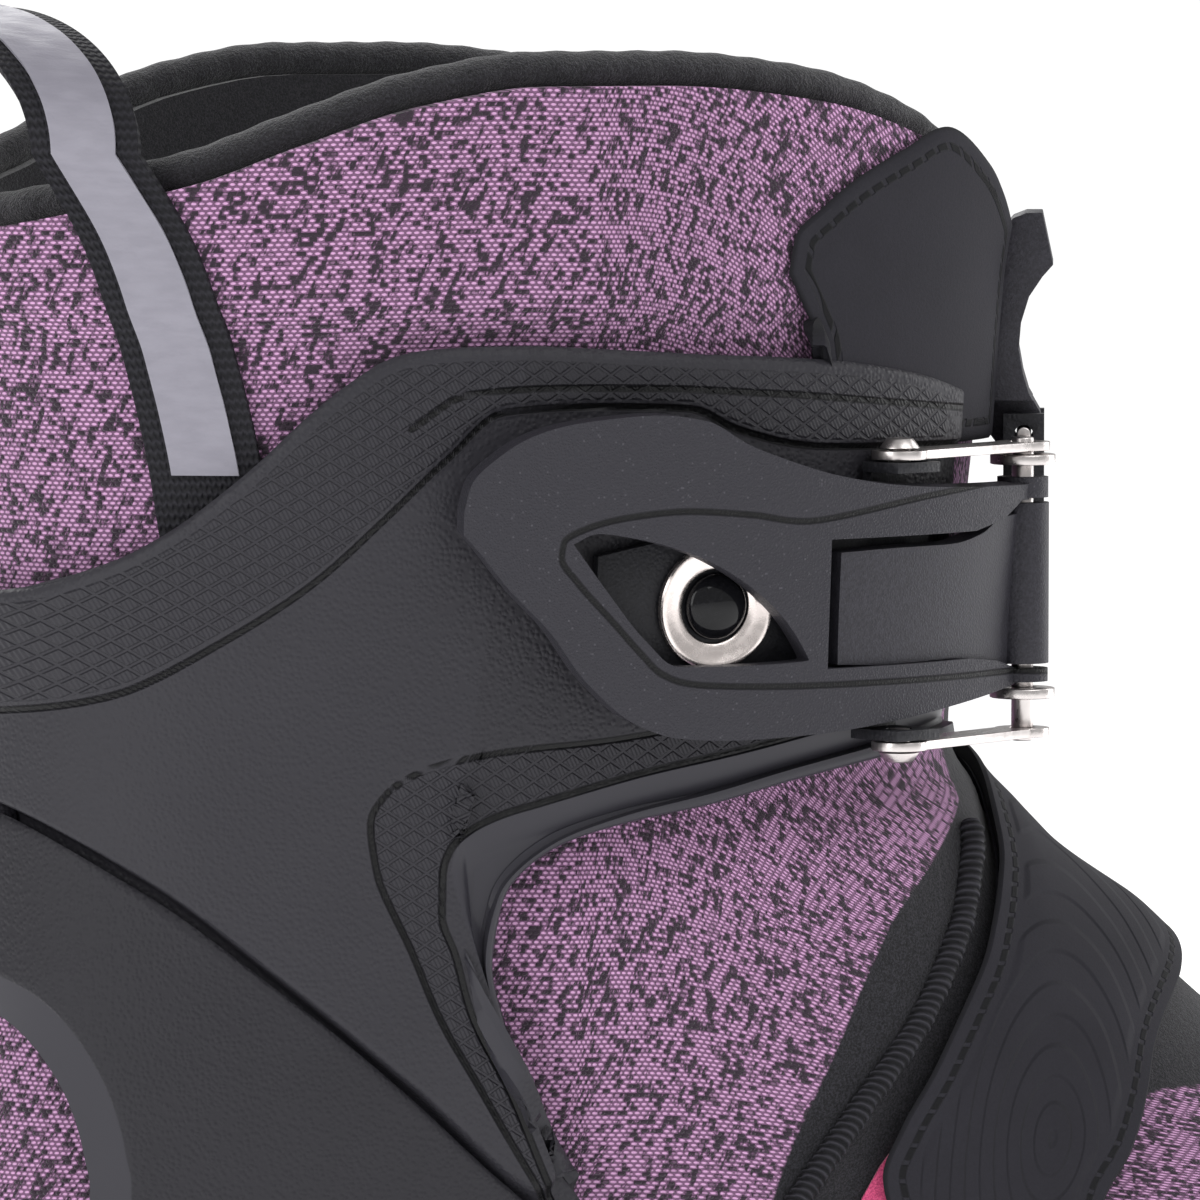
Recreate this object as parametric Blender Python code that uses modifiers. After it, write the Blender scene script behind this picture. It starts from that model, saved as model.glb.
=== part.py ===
"""Right cross country boot: knit upper, hinged plastic cuff, side buckle, bar sole.

Toe at +X, outer side at -Y, sole on the plane Z = 0 and the ankle pivot above X = 0.
Sizes are millimetres and become metres when a mesh is made.
"""
import math

import bmesh
import bpy
from mathutils import Matrix, Vector

MM = 0.001

# ---- overall sizes ----
TOE_REACH = 198.0          # ankle line to the tip of the upper
HEEL_REACH = 84.0          # ankle line to the back of the heel
COLLAR_HEIGHT = 243.0      # top of the knit collar
LEG_HALF_WIDTH = 52.0      # half width of the leg tube at the collar
BALL_HALF_WIDTH = 50.0     # outer half width at the ball of the foot
PIVOT_Z = 74.0             # height of the ankle pivot

# ---- sole ----
OUTSOLE_THICK = 9.0
PLATE_THICK = 12.0
SOLE_OVERHANG = 6.0        # sole beyond the knit wall
GROOVE_WIDTH = 8.0
GROOVE_DEPTH = 4.0
GROOVE_OFFSET = 12.0
BAR_DIAMETER = 4.0
BAR_LENGTH = 40.0
BAR_POCKET_WIDTH = 28.0
BAR_POCKET_LENGTH = 16.0
TOE_BAR_X = 184.0
BALL_BAR_X = 142.0

# ---- soft layers ----
KNIT_THICK = 3.0
LINER_THICK = 2.4
TONGUE_THICK = 5.0
BOARD_THICK = 2.0
INSOLE_THICK = 4.0
TRIM_DIAMETER = 4.6
PIPING_DIAMETER = 3.0
PATCH_THICK = 1.4
CAP_THICK = 2.2

# ---- hard shells ----
CUFF_STAND_OFF = 3.0       # knit wall to the inside of the cuff
CUFF_THICK = 3.0
CUFF_TAIL_THICK = 1.8      # the part of the cuff that runs under the shell
CUFF_TAIL_STAND_OFF = 0.8
LAYER_GAP = 0.9            # running clearance between the cuff's tail and the shell
SHELL_THICK = 2.6
RIVET_DIAMETER = 6.0
RIVET_HEAD_DIAMETER = 14.0

# ---- straps ----
WEBBING_WIDTH = 15.0
WEBBING_THICK = 1.2
TAPE_WIDTH = 9.0
TAPE_THICK = 0.4
STRAP_THICK = 2.2
STRAP_STAND_OFF = 2.0
LADDER_HEIGHT = 17.0
LADDER_THICK = 2.6

# ---- buckle ----
BUCKLE_Z = 170.0
BASE_THICK = 1.6
LEVER_THICK = 4.0
LEVER_STAND_OFF = 10.0
TAB_THICK = 3.0
HINGE_PIN_DIAMETER = 3.0
RING_DIAMETER = 16.8
DOME_DIAMETER = 9.0
LINK_THICK = 1.2
LINK_WIDTH = 6.0
PADDLE_HEIGHT = 30.0
PADDLE_WIDTH = 18.0
PADDLE_PIN_DIAMETER = 2.0

GAP = 0.3                  # clearance left between touching pieces
WALL_POWER = 2.4           # roundness of the horizontal sections
TOE_POWER = 5.0            # squarer sections at the toe

# ---- side profile of the knit wall: (height, reach) pairs at nominal size ----
NOMINAL_TOE = 198.0
NOMINAL_HEEL = 84.0
NOMINAL_HEIGHT = 243.0
NOMINAL_LEG = 52.0
NOMINAL_BALL = 50.0

FRONT = [(21, 198), (40, 200), (52, 196), (62, 187), (72, 172), (82, 153), (94, 131),
         (105, 114), (117, 99), (130, 80), (145, 68), (160, 66), (190, 68.5), (212, 71.3),
         (228, 75.5), (243, 79)]
REAR = [(21, 82), (40, 84), (60, 84), (85, 80), (115, 75), (145, 73), (175, 74), (215, 79), (243, 81)]
LEG_WIDTH = [(60, 43), (100, 45), (130, 46.5), (160, 49), (200, 51.5), (243, 52)]
FOOT_OUTER = [(-84, 34), (-45, 38), (0, 40), (60, 43), (110, 50), (150, 48), (180, 42), (200, 36)]
FOOT_INNER = [(-84, 34), (-45, 38), (0, 40), (60, 43), (110, 45), (150, 44), (180, 39), (200, 34)]

COLLECTION = bpy.data.collections.new("cross_country_boot")
CUTTERS = bpy.data.collections.new("cutters")


# ---------------------------------------------------------------- scene and materials

def clear_scene():
    for item in list(bpy.data.objects):
        bpy.data.objects.remove(item)
    bpy.context.scene.collection.children.link(COLLECTION)
    bpy.context.scene.collection.children.link(CUTTERS)


def material(name, colour, roughness, metallic=0.0):
    made = bpy.data.materials.new(name)
    made.use_nodes = True
    shader = made.node_tree.nodes["Principled BSDF"]
    shader.inputs["Base Color"].default_value = (*colour, 1.0)
    shader.inputs["Roughness"].default_value = roughness
    shader.inputs["Metallic"].default_value = metallic
    return made


def finish(item, colour, roughness, metallic=0.0):
    """Give the object a material of its own and smooth its round parts."""
    item.data.materials.clear()
    item.data.materials.append(material(item.name + "_finish", colour, roughness, metallic))
    if item.type == "MESH":
        item.data.shade_smooth()
        item.data.set_sharp_from_angle(angle=math.radians(35))
    return item


BLACK_PLASTIC = ((0.022, 0.022, 0.026), 0.5)
KNIT = ((0.30, 0.17, 0.28), 0.9)
FLEECE = ((0.012, 0.012, 0.014), 0.95)
NUBUCK = ((0.026, 0.025, 0.030), 0.8)
RUBBER = ((0.03, 0.03, 0.032), 0.8)
STEEL = ((0.62, 0.59, 0.58), 0.28, 1.0)


# ---------------------------------------------------------------- the boot's wall

def smooth_profile(points, at):
    """Value of a smooth curve through (position, value) pairs."""
    if at <= points[0][0]:
        return points[0][1]
    if at >= points[-1][0]:
        return points[-1][1]
    slopes = [(b[1] - a[1]) / (b[0] - a[0]) for a, b in zip(points, points[1:])]
    tangents = [slopes[0]]
    for before, after in zip(slopes, slopes[1:]):
        tangents.append(0.0 if before * after <= 0 else 2 * before * after / (before + after))
    tangents.append(slopes[-1])
    index = max(i for i, point in enumerate(points) if point[0] <= at)
    index = min(index, len(points) - 2)
    span = points[index + 1][0] - points[index][0]
    t = (at - points[index][0]) / span
    return ((2 * t ** 3 - 3 * t ** 2 + 1) * points[index][1]
            + (t ** 3 - 2 * t ** 2 + t) * span * tangents[index]
            + (3 * t ** 2 - 2 * t ** 3) * points[index + 1][1]
            + (t ** 3 - t ** 2) * span * tangents[index + 1])


def ease(low, high, at):
    t = min(1.0, max(0.0, (at - low) / (high - low)))
    return t * t * (3 - 2 * t)


def reach_front(z):
    return smooth_profile(FRONT, z) * TOE_REACH / NOMINAL_TOE


def reach_rear(z):
    return smooth_profile(REAR, z) * HEEL_REACH / NOMINAL_HEEL


def half_width(x, z, outer):
    foot = smooth_profile(FOOT_OUTER if outer else FOOT_INNER, x * NOMINAL_TOE / TOE_REACH)
    foot = foot * BALL_HALF_WIDTH / NOMINAL_BALL
    leg = smooth_profile(LEG_WIDTH, z) * LEG_HALF_WIDTH / NOMINAL_LEG
    return foot + (leg - foot) * ease(50, 115, z)


def base_point(turn, z):
    """Point of the knit wall: turn 0 is the outer side, 90 the toe, -90 the heel, in degrees.

    z is a nominal height, so that the collar height can change by itself.
    """
    sine = math.sin(math.radians(turn))
    outer = math.cos(math.radians(turn)) >= 0
    t = abs(sine)
    power = WALL_POWER
    if sine >= 0:
        power = TOE_POWER + (WALL_POWER - TOE_POWER) * ease(65, 125, z)
    x = (reach_front(z) if sine >= 0 else reach_rear(z)) * sine
    y = half_width(x, z, outer) * max(0.0, 1.0 - t ** power) ** (1.0 / WALL_POWER)
    return Vector((x, -y if outer else y, z * COLLAR_HEIGHT / NOMINAL_HEIGHT))


def normal_at(turn, z):
    """Outward direction of the knit wall."""
    along = base_point(turn + 1, z) - base_point(turn - 1, z)
    rise = base_point(turn, z + 1) - base_point(turn, z - 1)
    return along.cross(rise).normalized()


def wall(turn, z, off=0.0):
    """Point that stands off the knit wall along its outward direction."""
    place = base_point(turn, z) + normal_at(turn, z) * off
    if abs(math.cos(math.radians(turn))) < 1e-6:
        place.y = 0.0
    return place


def turn_of(x, z, off=0.0):
    """Turn at which the outer wall passes x at height z, both at nominal size."""
    reach = (smooth_profile(FRONT, z) if x >= 0 else smooth_profile(REAR, z)) + off
    return math.degrees(math.asin(max(-1.0, min(1.0, x / reach))))


def side_curve(points, off=0.0):
    """Turns an outline of (x, z) pairs seen from the side into (turn, z) pairs.

    The outline lies on a surface that stands off the wall; -90 or less is the back's middle.
    """
    return [(turn_of(x, z, off), z) for x, z in points]


def resample(points, count):
    """Evenly numbered points on a smooth curve through the given ones."""
    last = len(points) - 1
    tracks = [[(i, point[k]) for i, point in enumerate(points)] for k in range(len(points[0]))]
    return [tuple(smooth_profile(track, step * last / count) for track in tracks)
            for step in range(count + 1)]


# ---------------------------------------------------------------- making meshes

def add_mesh(name, points, faces):
    mesh = bpy.data.meshes.new(name)
    mesh.from_pydata([tuple(c * MM for c in p) for p in points], [], faces)
    mesh.update()
    item = bpy.data.objects.new(name, mesh)
    COLLECTION.objects.link(item)
    return item


def face_out(item):
    work = bmesh.new()
    work.from_mesh(item.data)
    bmesh.ops.recalc_face_normals(work, faces=work.faces)
    work.to_mesh(item.data)
    work.free()


def loft(name, rows, closed=False):
    """An open sheet through rows of points; closed joins each row's ends."""
    width = len(rows[0])
    points = [p for row in rows for p in row]
    faces = []
    for r in range(len(rows) - 1):
        for c in range(width if closed else width - 1):
            n = (c + 1) % width
            faces.append((r * width + c, r * width + n, (r + 1) * width + n, (r + 1) * width + c))
    return add_mesh(name, points, faces)


def thicken(item, thick, mirror=False):
    """Wall thickness laid on the inner side of a sheet whose faces point out."""
    if mirror:
        half = item.modifiers.new("both_sides", "MIRROR")
        half.use_axis = (False, True, False)
        half.use_clip = True
        half.merge_threshold = 0.0001
    shell = item.modifiers.new("wall", "SOLIDIFY")
    shell.thickness = thick * MM
    shell.offset = -1.0
    return item


def point_out(item, centre_z=None):
    """Turn a sheet's faces away from the boot's middle line."""
    mesh = item.data
    score = 0.0
    for face in mesh.polygons:
        away = Vector((face.center.x, face.center.y, 0.0 if centre_z is None else (face.center.z - centre_z * MM)))
        score += face.normal.dot(away.normalized()) * face.area if away.length > 0 else 0.0
    if score < 0:
        mesh.flip_normals()
    return item


def sheet(name, curves, offs, count, thick, mirror=False):
    """A wall piece through curves of (turn, z) pairs, each at its own stand-off."""
    rows = []
    for curve, off in zip(curves, offs):
        rows.append([wall(turn, z, off) for turn, z in resample(curve, count)])
    item = loft(name, rows)
    point_out(item)
    return thicken(item, thick, mirror)


def outline_slab(name, outline, low, high):
    """A flat slab between two heights from an outline of (x, y) points."""
    curve = bpy.data.curves.new(name, "CURVE")
    curve.dimensions = "2D"
    curve.fill_mode = "BOTH"
    curve.extrude = (high - low) / 2 * MM
    line = curve.splines.new("POLY")
    line.points.add(len(outline) - 1)
    for point, (x, y) in zip(line.points, outline):
        point.co = (x * MM, y * MM, 0.0, 1.0)
    line.use_cyclic_u = True
    item = bpy.data.objects.new(name, curve)
    item.location.z = (low + high) / 2 * MM
    COLLECTION.objects.link(item)
    return as_mesh(item)


def as_mesh(item):
    """Replace a curve or a turned profile by a closed mesh of the same name and place."""
    bpy.context.view_layer.update()
    name = item.name
    seen = item.evaluated_get(bpy.context.evaluated_depsgraph_get())
    mesh = bpy.data.meshes.new_from_object(seen)
    place = item.matrix_world.copy()
    bpy.data.objects.remove(item)
    work = bmesh.new()
    work.from_mesh(mesh)
    bmesh.ops.remove_doubles(work, verts=work.verts, dist=0.00001)
    bmesh.ops.recalc_face_normals(work, faces=work.faces)
    work.to_mesh(mesh)
    work.free()
    made = bpy.data.objects.new(name, mesh)
    made.matrix_world = place
    COLLECTION.objects.link(made)
    return made


def tube(name, path, diameter, sides=1):
    """A round cord along a path, closed at both ends."""
    curve = bpy.data.curves.new(name, "CURVE")
    curve.dimensions = "3D"
    curve.bevel_depth = diameter / 2 * MM
    curve.bevel_resolution = sides
    curve.use_fill_caps = True
    line = curve.splines.new("POLY")
    line.points.add(len(path) - 1)
    for point, place in zip(line.points, path):
        point.co = (*(c * MM for c in place), 1.0)
    item = bpy.data.objects.new(name, curve)
    COLLECTION.objects.link(item)
    return as_mesh(item)


def rod(name, centre, direction, diameter, length, sides=20):
    """A cylinder about a centre and along a direction."""
    work = bmesh.new()
    turn = Vector((0, 0, 1)).rotation_difference(Vector(direction)).to_matrix().to_4x4()
    place = Matrix.Translation(Vector(centre) * MM) @ turn
    bmesh.ops.create_cone(work, cap_ends=True, segments=sides, radius1=diameter / 2 * MM,
                          radius2=diameter / 2 * MM, depth=length * MM, matrix=place)
    mesh = bpy.data.meshes.new(name)
    work.to_mesh(mesh)
    work.free()
    item = bpy.data.objects.new(name, mesh)
    COLLECTION.objects.link(item)
    return item


def turned(name, centre, direction, profile, sides=24):
    """A turned piece: (radius, height) profile, top to bottom, about a direction."""
    mesh = bpy.data.meshes.new(name)
    mesh.from_pydata([(r * MM, 0.0, h * MM) for r, h in profile], [],
                     [(i, i + 1) for i in range(len(profile) - 1)])
    item = bpy.data.objects.new(name, mesh)
    turn = Vector((0, 0, 1)).rotation_difference(Vector(direction)).to_matrix().to_4x4()
    item.matrix_world = Matrix.Translation(Vector(centre) * MM) @ turn
    screw = item.modifiers.new("turn", "SCREW")
    screw.steps = sides
    screw.render_steps = sides
    screw.use_merge_vertices = True
    screw.merge_threshold = 0.00001
    COLLECTION.objects.link(item)
    return as_mesh(item)


def box(name, low, high):
    work = bmesh.new()
    bmesh.ops.create_cube(work, size=1.0)
    centre = [(a + b) / 2 * MM for a, b in zip(low, high)]
    size = [(b - a) * MM for a, b in zip(low, high)]
    bmesh.ops.scale(work, vec=size, verts=work.verts)
    bmesh.ops.translate(work, vec=centre, verts=work.verts)
    mesh = bpy.data.meshes.new(name)
    work.to_mesh(mesh)
    work.free()
    item = bpy.data.objects.new(name, mesh)
    COLLECTION.objects.link(item)
    return item


def combine(item, other, operation):
    """Cut or join with a helper solid, which is kept out of the part."""
    if other.name in COLLECTION.objects:
        COLLECTION.objects.unlink(other)
        CUTTERS.objects.link(other)
    other.hide_render = True
    other.display_type = "WIRE"
    change = item.modifiers.new(other.name, "BOOLEAN")
    change.operation = operation
    change.object = other
    change.solver = "EXACT"
    return item


def cut(item, other):
    return combine(item, other, "DIFFERENCE")


def set_origin(item, point):
    """Move an object's origin to a point without moving its mesh in the world."""
    bpy.context.view_layer.update()
    target = Matrix.Translation(Vector(point) * MM)
    item.data.transform(target.inverted() @ item.matrix_world)
    item.matrix_world = target
    return item


# ---------------------------------------------------------------- sole

def sole_outline(off, count=56):
    """Plan outline of the boot at the sole, as (x, y) points."""
    places = [wall(-90 + 360 * k / count, 21, off) for k in range(count)]
    return [(p.x, p.y) for p in places]


SOLE_TOP = OUTSOLE_THICK + GAP + PLATE_THICK


def make_sole():
    outsole = outline_slab("outsole", sole_outline(SOLE_OVERHANG), 0, OUTSOLE_THICK)
    for side, offset in (("outer", -GROOVE_OFFSET), ("inner", GROOVE_OFFSET)):
        groove = box("groove_" + side, (-70, offset - GROOVE_WIDTH / 2, -1),
                     (BALL_BAR_X - 20, offset + GROOVE_WIDTH / 2, GROOVE_DEPTH))
        cut(outsole, groove)
    for name, x in (("toe_bar", TOE_BAR_X), ("ball_bar", BALL_BAR_X)):
        pocket = box(name + "_pocket",
                     (x - BAR_POCKET_LENGTH / 2, -BAR_POCKET_WIDTH / 2, -1),
                     (x + BAR_POCKET_LENGTH / 2, BAR_POCKET_WIDTH / 2, OUTSOLE_THICK + 1))
        cut(outsole, pocket)
        bore = rod(name + "_bore", (x, 0, OUTSOLE_THICK / 2), (0, 1, 0),
                   BAR_DIAMETER + 2 * GAP, BAR_LENGTH + 2 * GAP, 16)
        cut(outsole, bore)
        bar = rod(name, (x, 0, OUTSOLE_THICK / 2), (0, 1, 0), BAR_DIAMETER, BAR_LENGTH, 16)
        finish(bar, *STEEL)
    finish(outsole, *RUBBER)
    plate = outline_slab("sole_plate", sole_outline(SOLE_OVERHANG),
                         OUTSOLE_THICK + GAP, SOLE_TOP)
    finish(plate, *BLACK_PLASTIC)
    inside = -KNIT_THICK - 2 * GAP
    board = outline_slab("lasting_board", sole_outline(inside, 40),
                         SOLE_TOP + GAP, SOLE_TOP + GAP + BOARD_THICK)
    finish(board, (0.35, 0.30, 0.22), 0.9)
    insole = outline_slab("insole", sole_outline(inside - LINER_THICK - 3 * GAP, 40),
                          SOLE_TOP + 2 * GAP + BOARD_THICK,
                          SOLE_TOP + 2 * GAP + BOARD_THICK + INSOLE_THICK)
    finish(insole, (0.03, 0.03, 0.035), 0.95)


# ---------------------------------------------------------------- knit upper and lining

WALL_FOOT_Z = (SOLE_TOP + GAP) * NOMINAL_HEIGHT / COLLAR_HEIGHT
PIVOT_NOMINAL = PIVOT_Z * NOMINAL_HEIGHT / COLLAR_HEIGHT

# Collar edge seen from the side; the same line serves both sides.
COLLAR_EDGE = [(-81, 217.5), (-74, 220), (-55, 225.5), (-41, 231), (-26, 236), (-9, 238.5),
               (8, 238.5), (29, 236.5), (46, 231.5), (58, 224.5), (66, 217.5)]
# Edges of the stretch band that lets the collar turn on the foot part.
FIXED_EDGE = [(-90, 34), (-60, 27), (-30, 12), (-8, 6), (0, 5), (8, 6), (40, 20), (100, 42)]
MOVING_EDGE = [(-90, 38), (-60, 31), (-30, 16), (-8, 9.5), (0, 9), (6, 12), (40, 64), (70, 108)]


def edge_height(edge, turn, low=30.0, high=236.0):
    """Nominal height at which the wall at this turn meets an edge measured from the pivot."""
    sine = math.sin(math.radians(turn))
    for _ in range(40):
        middle = (low + high) / 2
        reach = smooth_profile(FRONT, middle) if sine >= 0 else smooth_profile(REAR, middle)
        if middle < PIVOT_NOMINAL + smooth_profile(edge, reach * sine):
            low = middle
        else:
            high = middle
    return (low + high) / 2


THROAT_TURN = 72.0         # half of the throat reaches from here to the front
THROAT_LOW = 98.0          # lowest point of the throat on the instep
COLUMN_TURN = 9.0          # turn between the columns of every ring, so that their facets match


def foot_top(turn):
    height = edge_height(FIXED_EDGE, turn)
    from_front = abs((turn % 360) - 90)
    return height + (THROAT_LOW - height) * (1 - ease(90 - THROAT_TURN, 34, from_front))


def ring(name, low, high, off, thick, steps):
    """A closed band of wall between two edges given as functions of the turn."""
    turns = [-90 + COLUMN_TURN * k for k in range(round(360 / COLUMN_TURN))]
    rows = [[wall(turn, low(turn) + (high(turn) - low(turn)) * r / steps, off) for turn in turns]
            for r in range(steps + 1)]
    item = loft(name, rows, closed=True)
    point_out(item)
    return thicken(item, thick)


def turns_between(first, last, finer=1):
    """Turns from first to last, about a ring's column apart or a part of one."""
    count = max(1, round((last - first) / COLUMN_TURN * finer))
    return [first + (last - first) * k / count for k in range(count + 1)]


def open_band(name, first, last, low, high, off, thick, steps, finer=1):
    """A band of wall that starts and stops at a turn."""
    turns = turns_between(first, last, finer)
    rows = [[wall(turn, low(turn) + (high(turn) - low(turn)) * r / steps, off) for turn in turns]
            for r in range(steps + 1)]
    item = loft(name, rows)
    point_out(item)
    return thicken(item, thick)


def collar_top(turn):
    """Height of the collar edge at a turn."""
    from_rear = abs(((turn + 90 + 180) % 360) - 180)
    edge = side_curve(COLLAR_EDGE)
    return smooth_profile([(-90 if t < -89 else t, z) for t, z in edge], from_rear - 90)


def make_upper():
    foot = ring("upper_foot", lambda t: WALL_FOOT_Z, foot_top, 0.0, KNIT_THICK, 9)
    finish(foot, *KNIT)
    inside = -KNIT_THICK - 2 * GAP
    board_top = (SOLE_TOP + 3 * GAP + BOARD_THICK) * NOMINAL_HEIGHT / COLLAR_HEIGHT
    liner = ring("liner_foot", lambda t: board_top, lambda t: foot_top(t) - 4, inside,
                 LINER_THICK, 9)
    finish(liner, *FLEECE)
    band = ring("flex_gusset", lambda t: foot_top(t) + 1.6,
                lambda t: edge_height(MOVING_EDGE, t) - 1.6, 0.0, KNIT_THICK, 8)
    finish(band, *FLEECE)
    low_edge = lambda t: edge_height(MOVING_EDGE, t)
    first, last = -180 - THROAT_TURN, THROAT_TURN
    collar = open_band("upper_collar", first, last, low_edge, collar_top, 0.0, KNIT_THICK, 5)
    finish(collar, *KNIT)
    lining = open_band("liner_collar", first + 2 * COLUMN_TURN, last - 2 * COLUMN_TURN, low_edge,
                       collar_top, inside, LINER_THICK, 5)
    finish(lining, *FLEECE)
    trim_path = []
    for turn in turns_between(first, last):
        place = wall(turn, collar_top(turn), -KNIT_THICK)
        trim_path.append(place + Vector((0, 0, TRIM_DIAMETER / 2 + 3 * GAP)))
    finish(tube("collar_trim", trim_path, TRIM_DIAMETER), *FLEECE)


def make_tongue():
    depth = -KNIT_THICK - GAP
    low = open_band("tongue_instep", 63, 117, lambda t: 84.0, lambda t: 112.0,
                    depth - LINER_THICK - LAYER_GAP, TONGUE_THICK, 4)
    finish(low, *FLEECE)
    behind_trim = depth - TRIM_DIAMETER / 2 - 3 * GAP
    high = open_band("tongue_shin", 63, 117, lambda t: edge_height(MOVING_EDGE, 90) + 3,
                     lambda t: 236.0 - 0.012 * (t - 90) ** 2, behind_trim, TONGUE_THICK, 4)
    finish(high, *FLEECE)


def make_patches():
    upper = [(28, 217), (33, 221), (40, 224.5), (48, 228), (52, 229.5), (57, 226), (60.5, 221)]
    lower = [(29, 190), (34, 190), (40, 190), (46, 190), (51, 190), (55, 190), (58.5, 190)]
    curves = [side_curve(upper), side_curve(lower)]
    middle = [(a[0] * 0.5 + b[0] * 0.5, a[1] * 0.5 + b[1] * 0.5) for a, b in zip(*curves)]
    rows = (curves[0], middle, curves[1])
    for name, flip in (("collar_patch_outer", False), ("collar_patch_inner", True)):
        turned_rows = [[(180 - t if flip else t, z) for t, z in row] for row in rows]
        patch = sheet(name, turned_rows, [PATCH_THICK + 3 * GAP] * 3, 8, PATCH_THICK)
        finish(patch, *NUBUCK)


def make_piping():
    """Ribbed piping down each side of the throat, from the shin to the side of the foot."""
    line = side_curve([(59, 136), (57, 126), (53, 118), (47, 109), (40, 101), (34, 93), (29, 86)])
    for name, flip in (("piping_outer", False), ("piping_inner", True)):
        path = [wall(180 - t if flip else t, z, PIPING_DIAMETER / 2 + GAP)
                for t, z in resample(line, 14)]
        finish(tube(name, path, PIPING_DIAMETER), *FLEECE)


# ---------------------------------------------------------------- shell, cuff and pivots

OUTLINE_OFF = 5.5          # stand-off of the surface on which the shell outlines are drawn

# Cuff, from the middle of the back to the front end: edges seen from the side.
CUFF_TOP = [(-90, 171), (-75, 172), (-66, 176), (-60, 180), (-51, 188), (-43, 196), (-38, 200),
            (-33, 203), (-29, 204), (-24, 204.4), (-19, 204.5), (-14, 204.5), (-9, 204.3),
            (-4, 204), (1, 203.7), (6, 203.4), (12, 203), (21, 202.6), (33, 201.8),
            (46, 200), (57, 197)]
CUFF_MIDDLE = [(-90, 158), (-73, 156), (-62, 152), (-53, 147), (-45, 141), (-40, 137),
               (-37, 134), (-34, 132), (-31, 131), (-28, 131), (-25.5, 132), (-23.5, 134),
               (-22, 138), (-21, 143), (-18, 147), (-12, 151), (-2, 154), (12, 158),
               (28, 164), (43, 169), (56, 173)]
# Where the cuff steps in to pass under the lower shell; past the limb it is the window edge.
CUFF_STEP = [(-90, 147), (-74, 143), (-61, 134), (-47, 122.5), (-34, 112), (-25, 105),
             (-18, 99), (-13, 95), (-10, 93), (-8, 92.5), (-6.5, 94), (-11, 104), (-17, 115),
             (-19, 124), (-17, 132), (-9, 139), (2, 143), (15, 146), (29, 149), (45, 151.5),
             (58, 153)]
CUFF_FOOT = [(-90, 134), (-74, 130), (-60, 121), (-44, 108), (-31, 96), (-20, 85), (-13, 74),
             (-5, 64), (5, 63), (11, 74), (2, 86), (-7, 97), (-13.5, 111), (-16.5, 122),
             (-15, 131), (-8, 137.5), (3, 140.7), (16, 142.7), (30, 145.5), (46, 147.6),
             (59, 148.5)]
LIMB_LAST = 10             # the columns up to here run under the shell

# Lower shell: its outer edge and the edge of its heel window, from the back's middle round.
SHELL_EDGE = [(-90, 145), (-74, 141), (-61, 131.5), (-43, 117), (-28, 105), (-14, 93), (-6, 87),
              (0, 84.5), (8, 82.5), (17, 78), (27, 68), (37, 54), (47, 41), (56, 31), (62, 23),
              (44, 22), (22, 22), (0, 22), (-22, 22), (-42, 22), (-62, 22), (-90, 22)]
HEEL_WINDOW = [(-90, 118), (-76, 114), (-72, 108), (-70, 103), (-69, 99), (-68.5, 96), (-68, 93),
               (-68, 90), (-68, 87), (-68, 84), (-68, 80), (-68, 76), (-68, 72), (-68.5, 68),
               (-69, 65), (-70, 62), (-71, 59), (-72, 57), (-74, 54), (-76, 52), (-79, 50),
               (-90, 48)]


def shell_offset():
    return CUFF_TAIL_STAND_OFF + CUFF_TAIL_THICK + LAYER_GAP + SHELL_THICK


def keep_on_seat(points):
    """Lift the shell's lower edge to rest on the sole plate whatever the sole's thickness."""
    return [(t, max(z, WALL_FOOT_Z)) for t, z in points]


def make_shell():
    edge = keep_on_seat(side_curve(SHELL_EDGE, OUTLINE_OFF))
    window = side_curve(HEEL_WINDOW, OUTLINE_OFF)
    steps = (0.0, 0.08, 0.2, 0.34, 0.48, 0.62, 0.76, 0.9, 1.0)
    rows = [[(a[0] + (b[0] - a[0]) * s, a[1] + (b[1] - a[1]) * s) for a, b in zip(edge, window)]
            for s in steps]
    shell = sheet("lower_shell", rows, [shell_offset()] * len(steps), 42, SHELL_THICK, mirror=True)
    return shell


def make_cuff():
    curves = (CUFF_TOP, CUFF_MIDDLE, CUFF_STEP, CUFF_FOOT)
    top, middle, step, foot = (side_curve(curve, OUTLINE_OFF) for curve in curves)
    outer = CUFF_STAND_OFF + CUFF_THICK
    tail = CUFF_TAIL_STAND_OFF + CUFF_TAIL_THICK
    count = 40
    rows = []
    upper = [tuple(0.5 * (a[k] + b[k]) for k in (0, 1)) for a, b in zip(top, middle)]
    for curve in (top, upper, middle, step):
        rows.append([wall(t, z, outer) for t, z in resample(curve, count)])
    limb_end = LIMB_LAST * count / (len(CUFF_TOP) - 1)
    under = []
    last = []
    for k, ((t0, z0), (t1, z1)) in enumerate(zip(resample(step, count), resample(foot, count))):
        out = ease(limb_end, limb_end + 5, k)
        off = tail + (outer - tail) * out
        near = 0.12 + 0.38 * out
        under.append(wall(t0 + (t1 - t0) * near, z0 + (z1 - z0) * near, off))
        last.append(wall(t1, z1, off))
    rows += [under, last]
    cuff = loft("cuff", rows)
    point_out(cuff)
    thicken(cuff, CUFF_TAIL_THICK, mirror=True)
    return cuff


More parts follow.
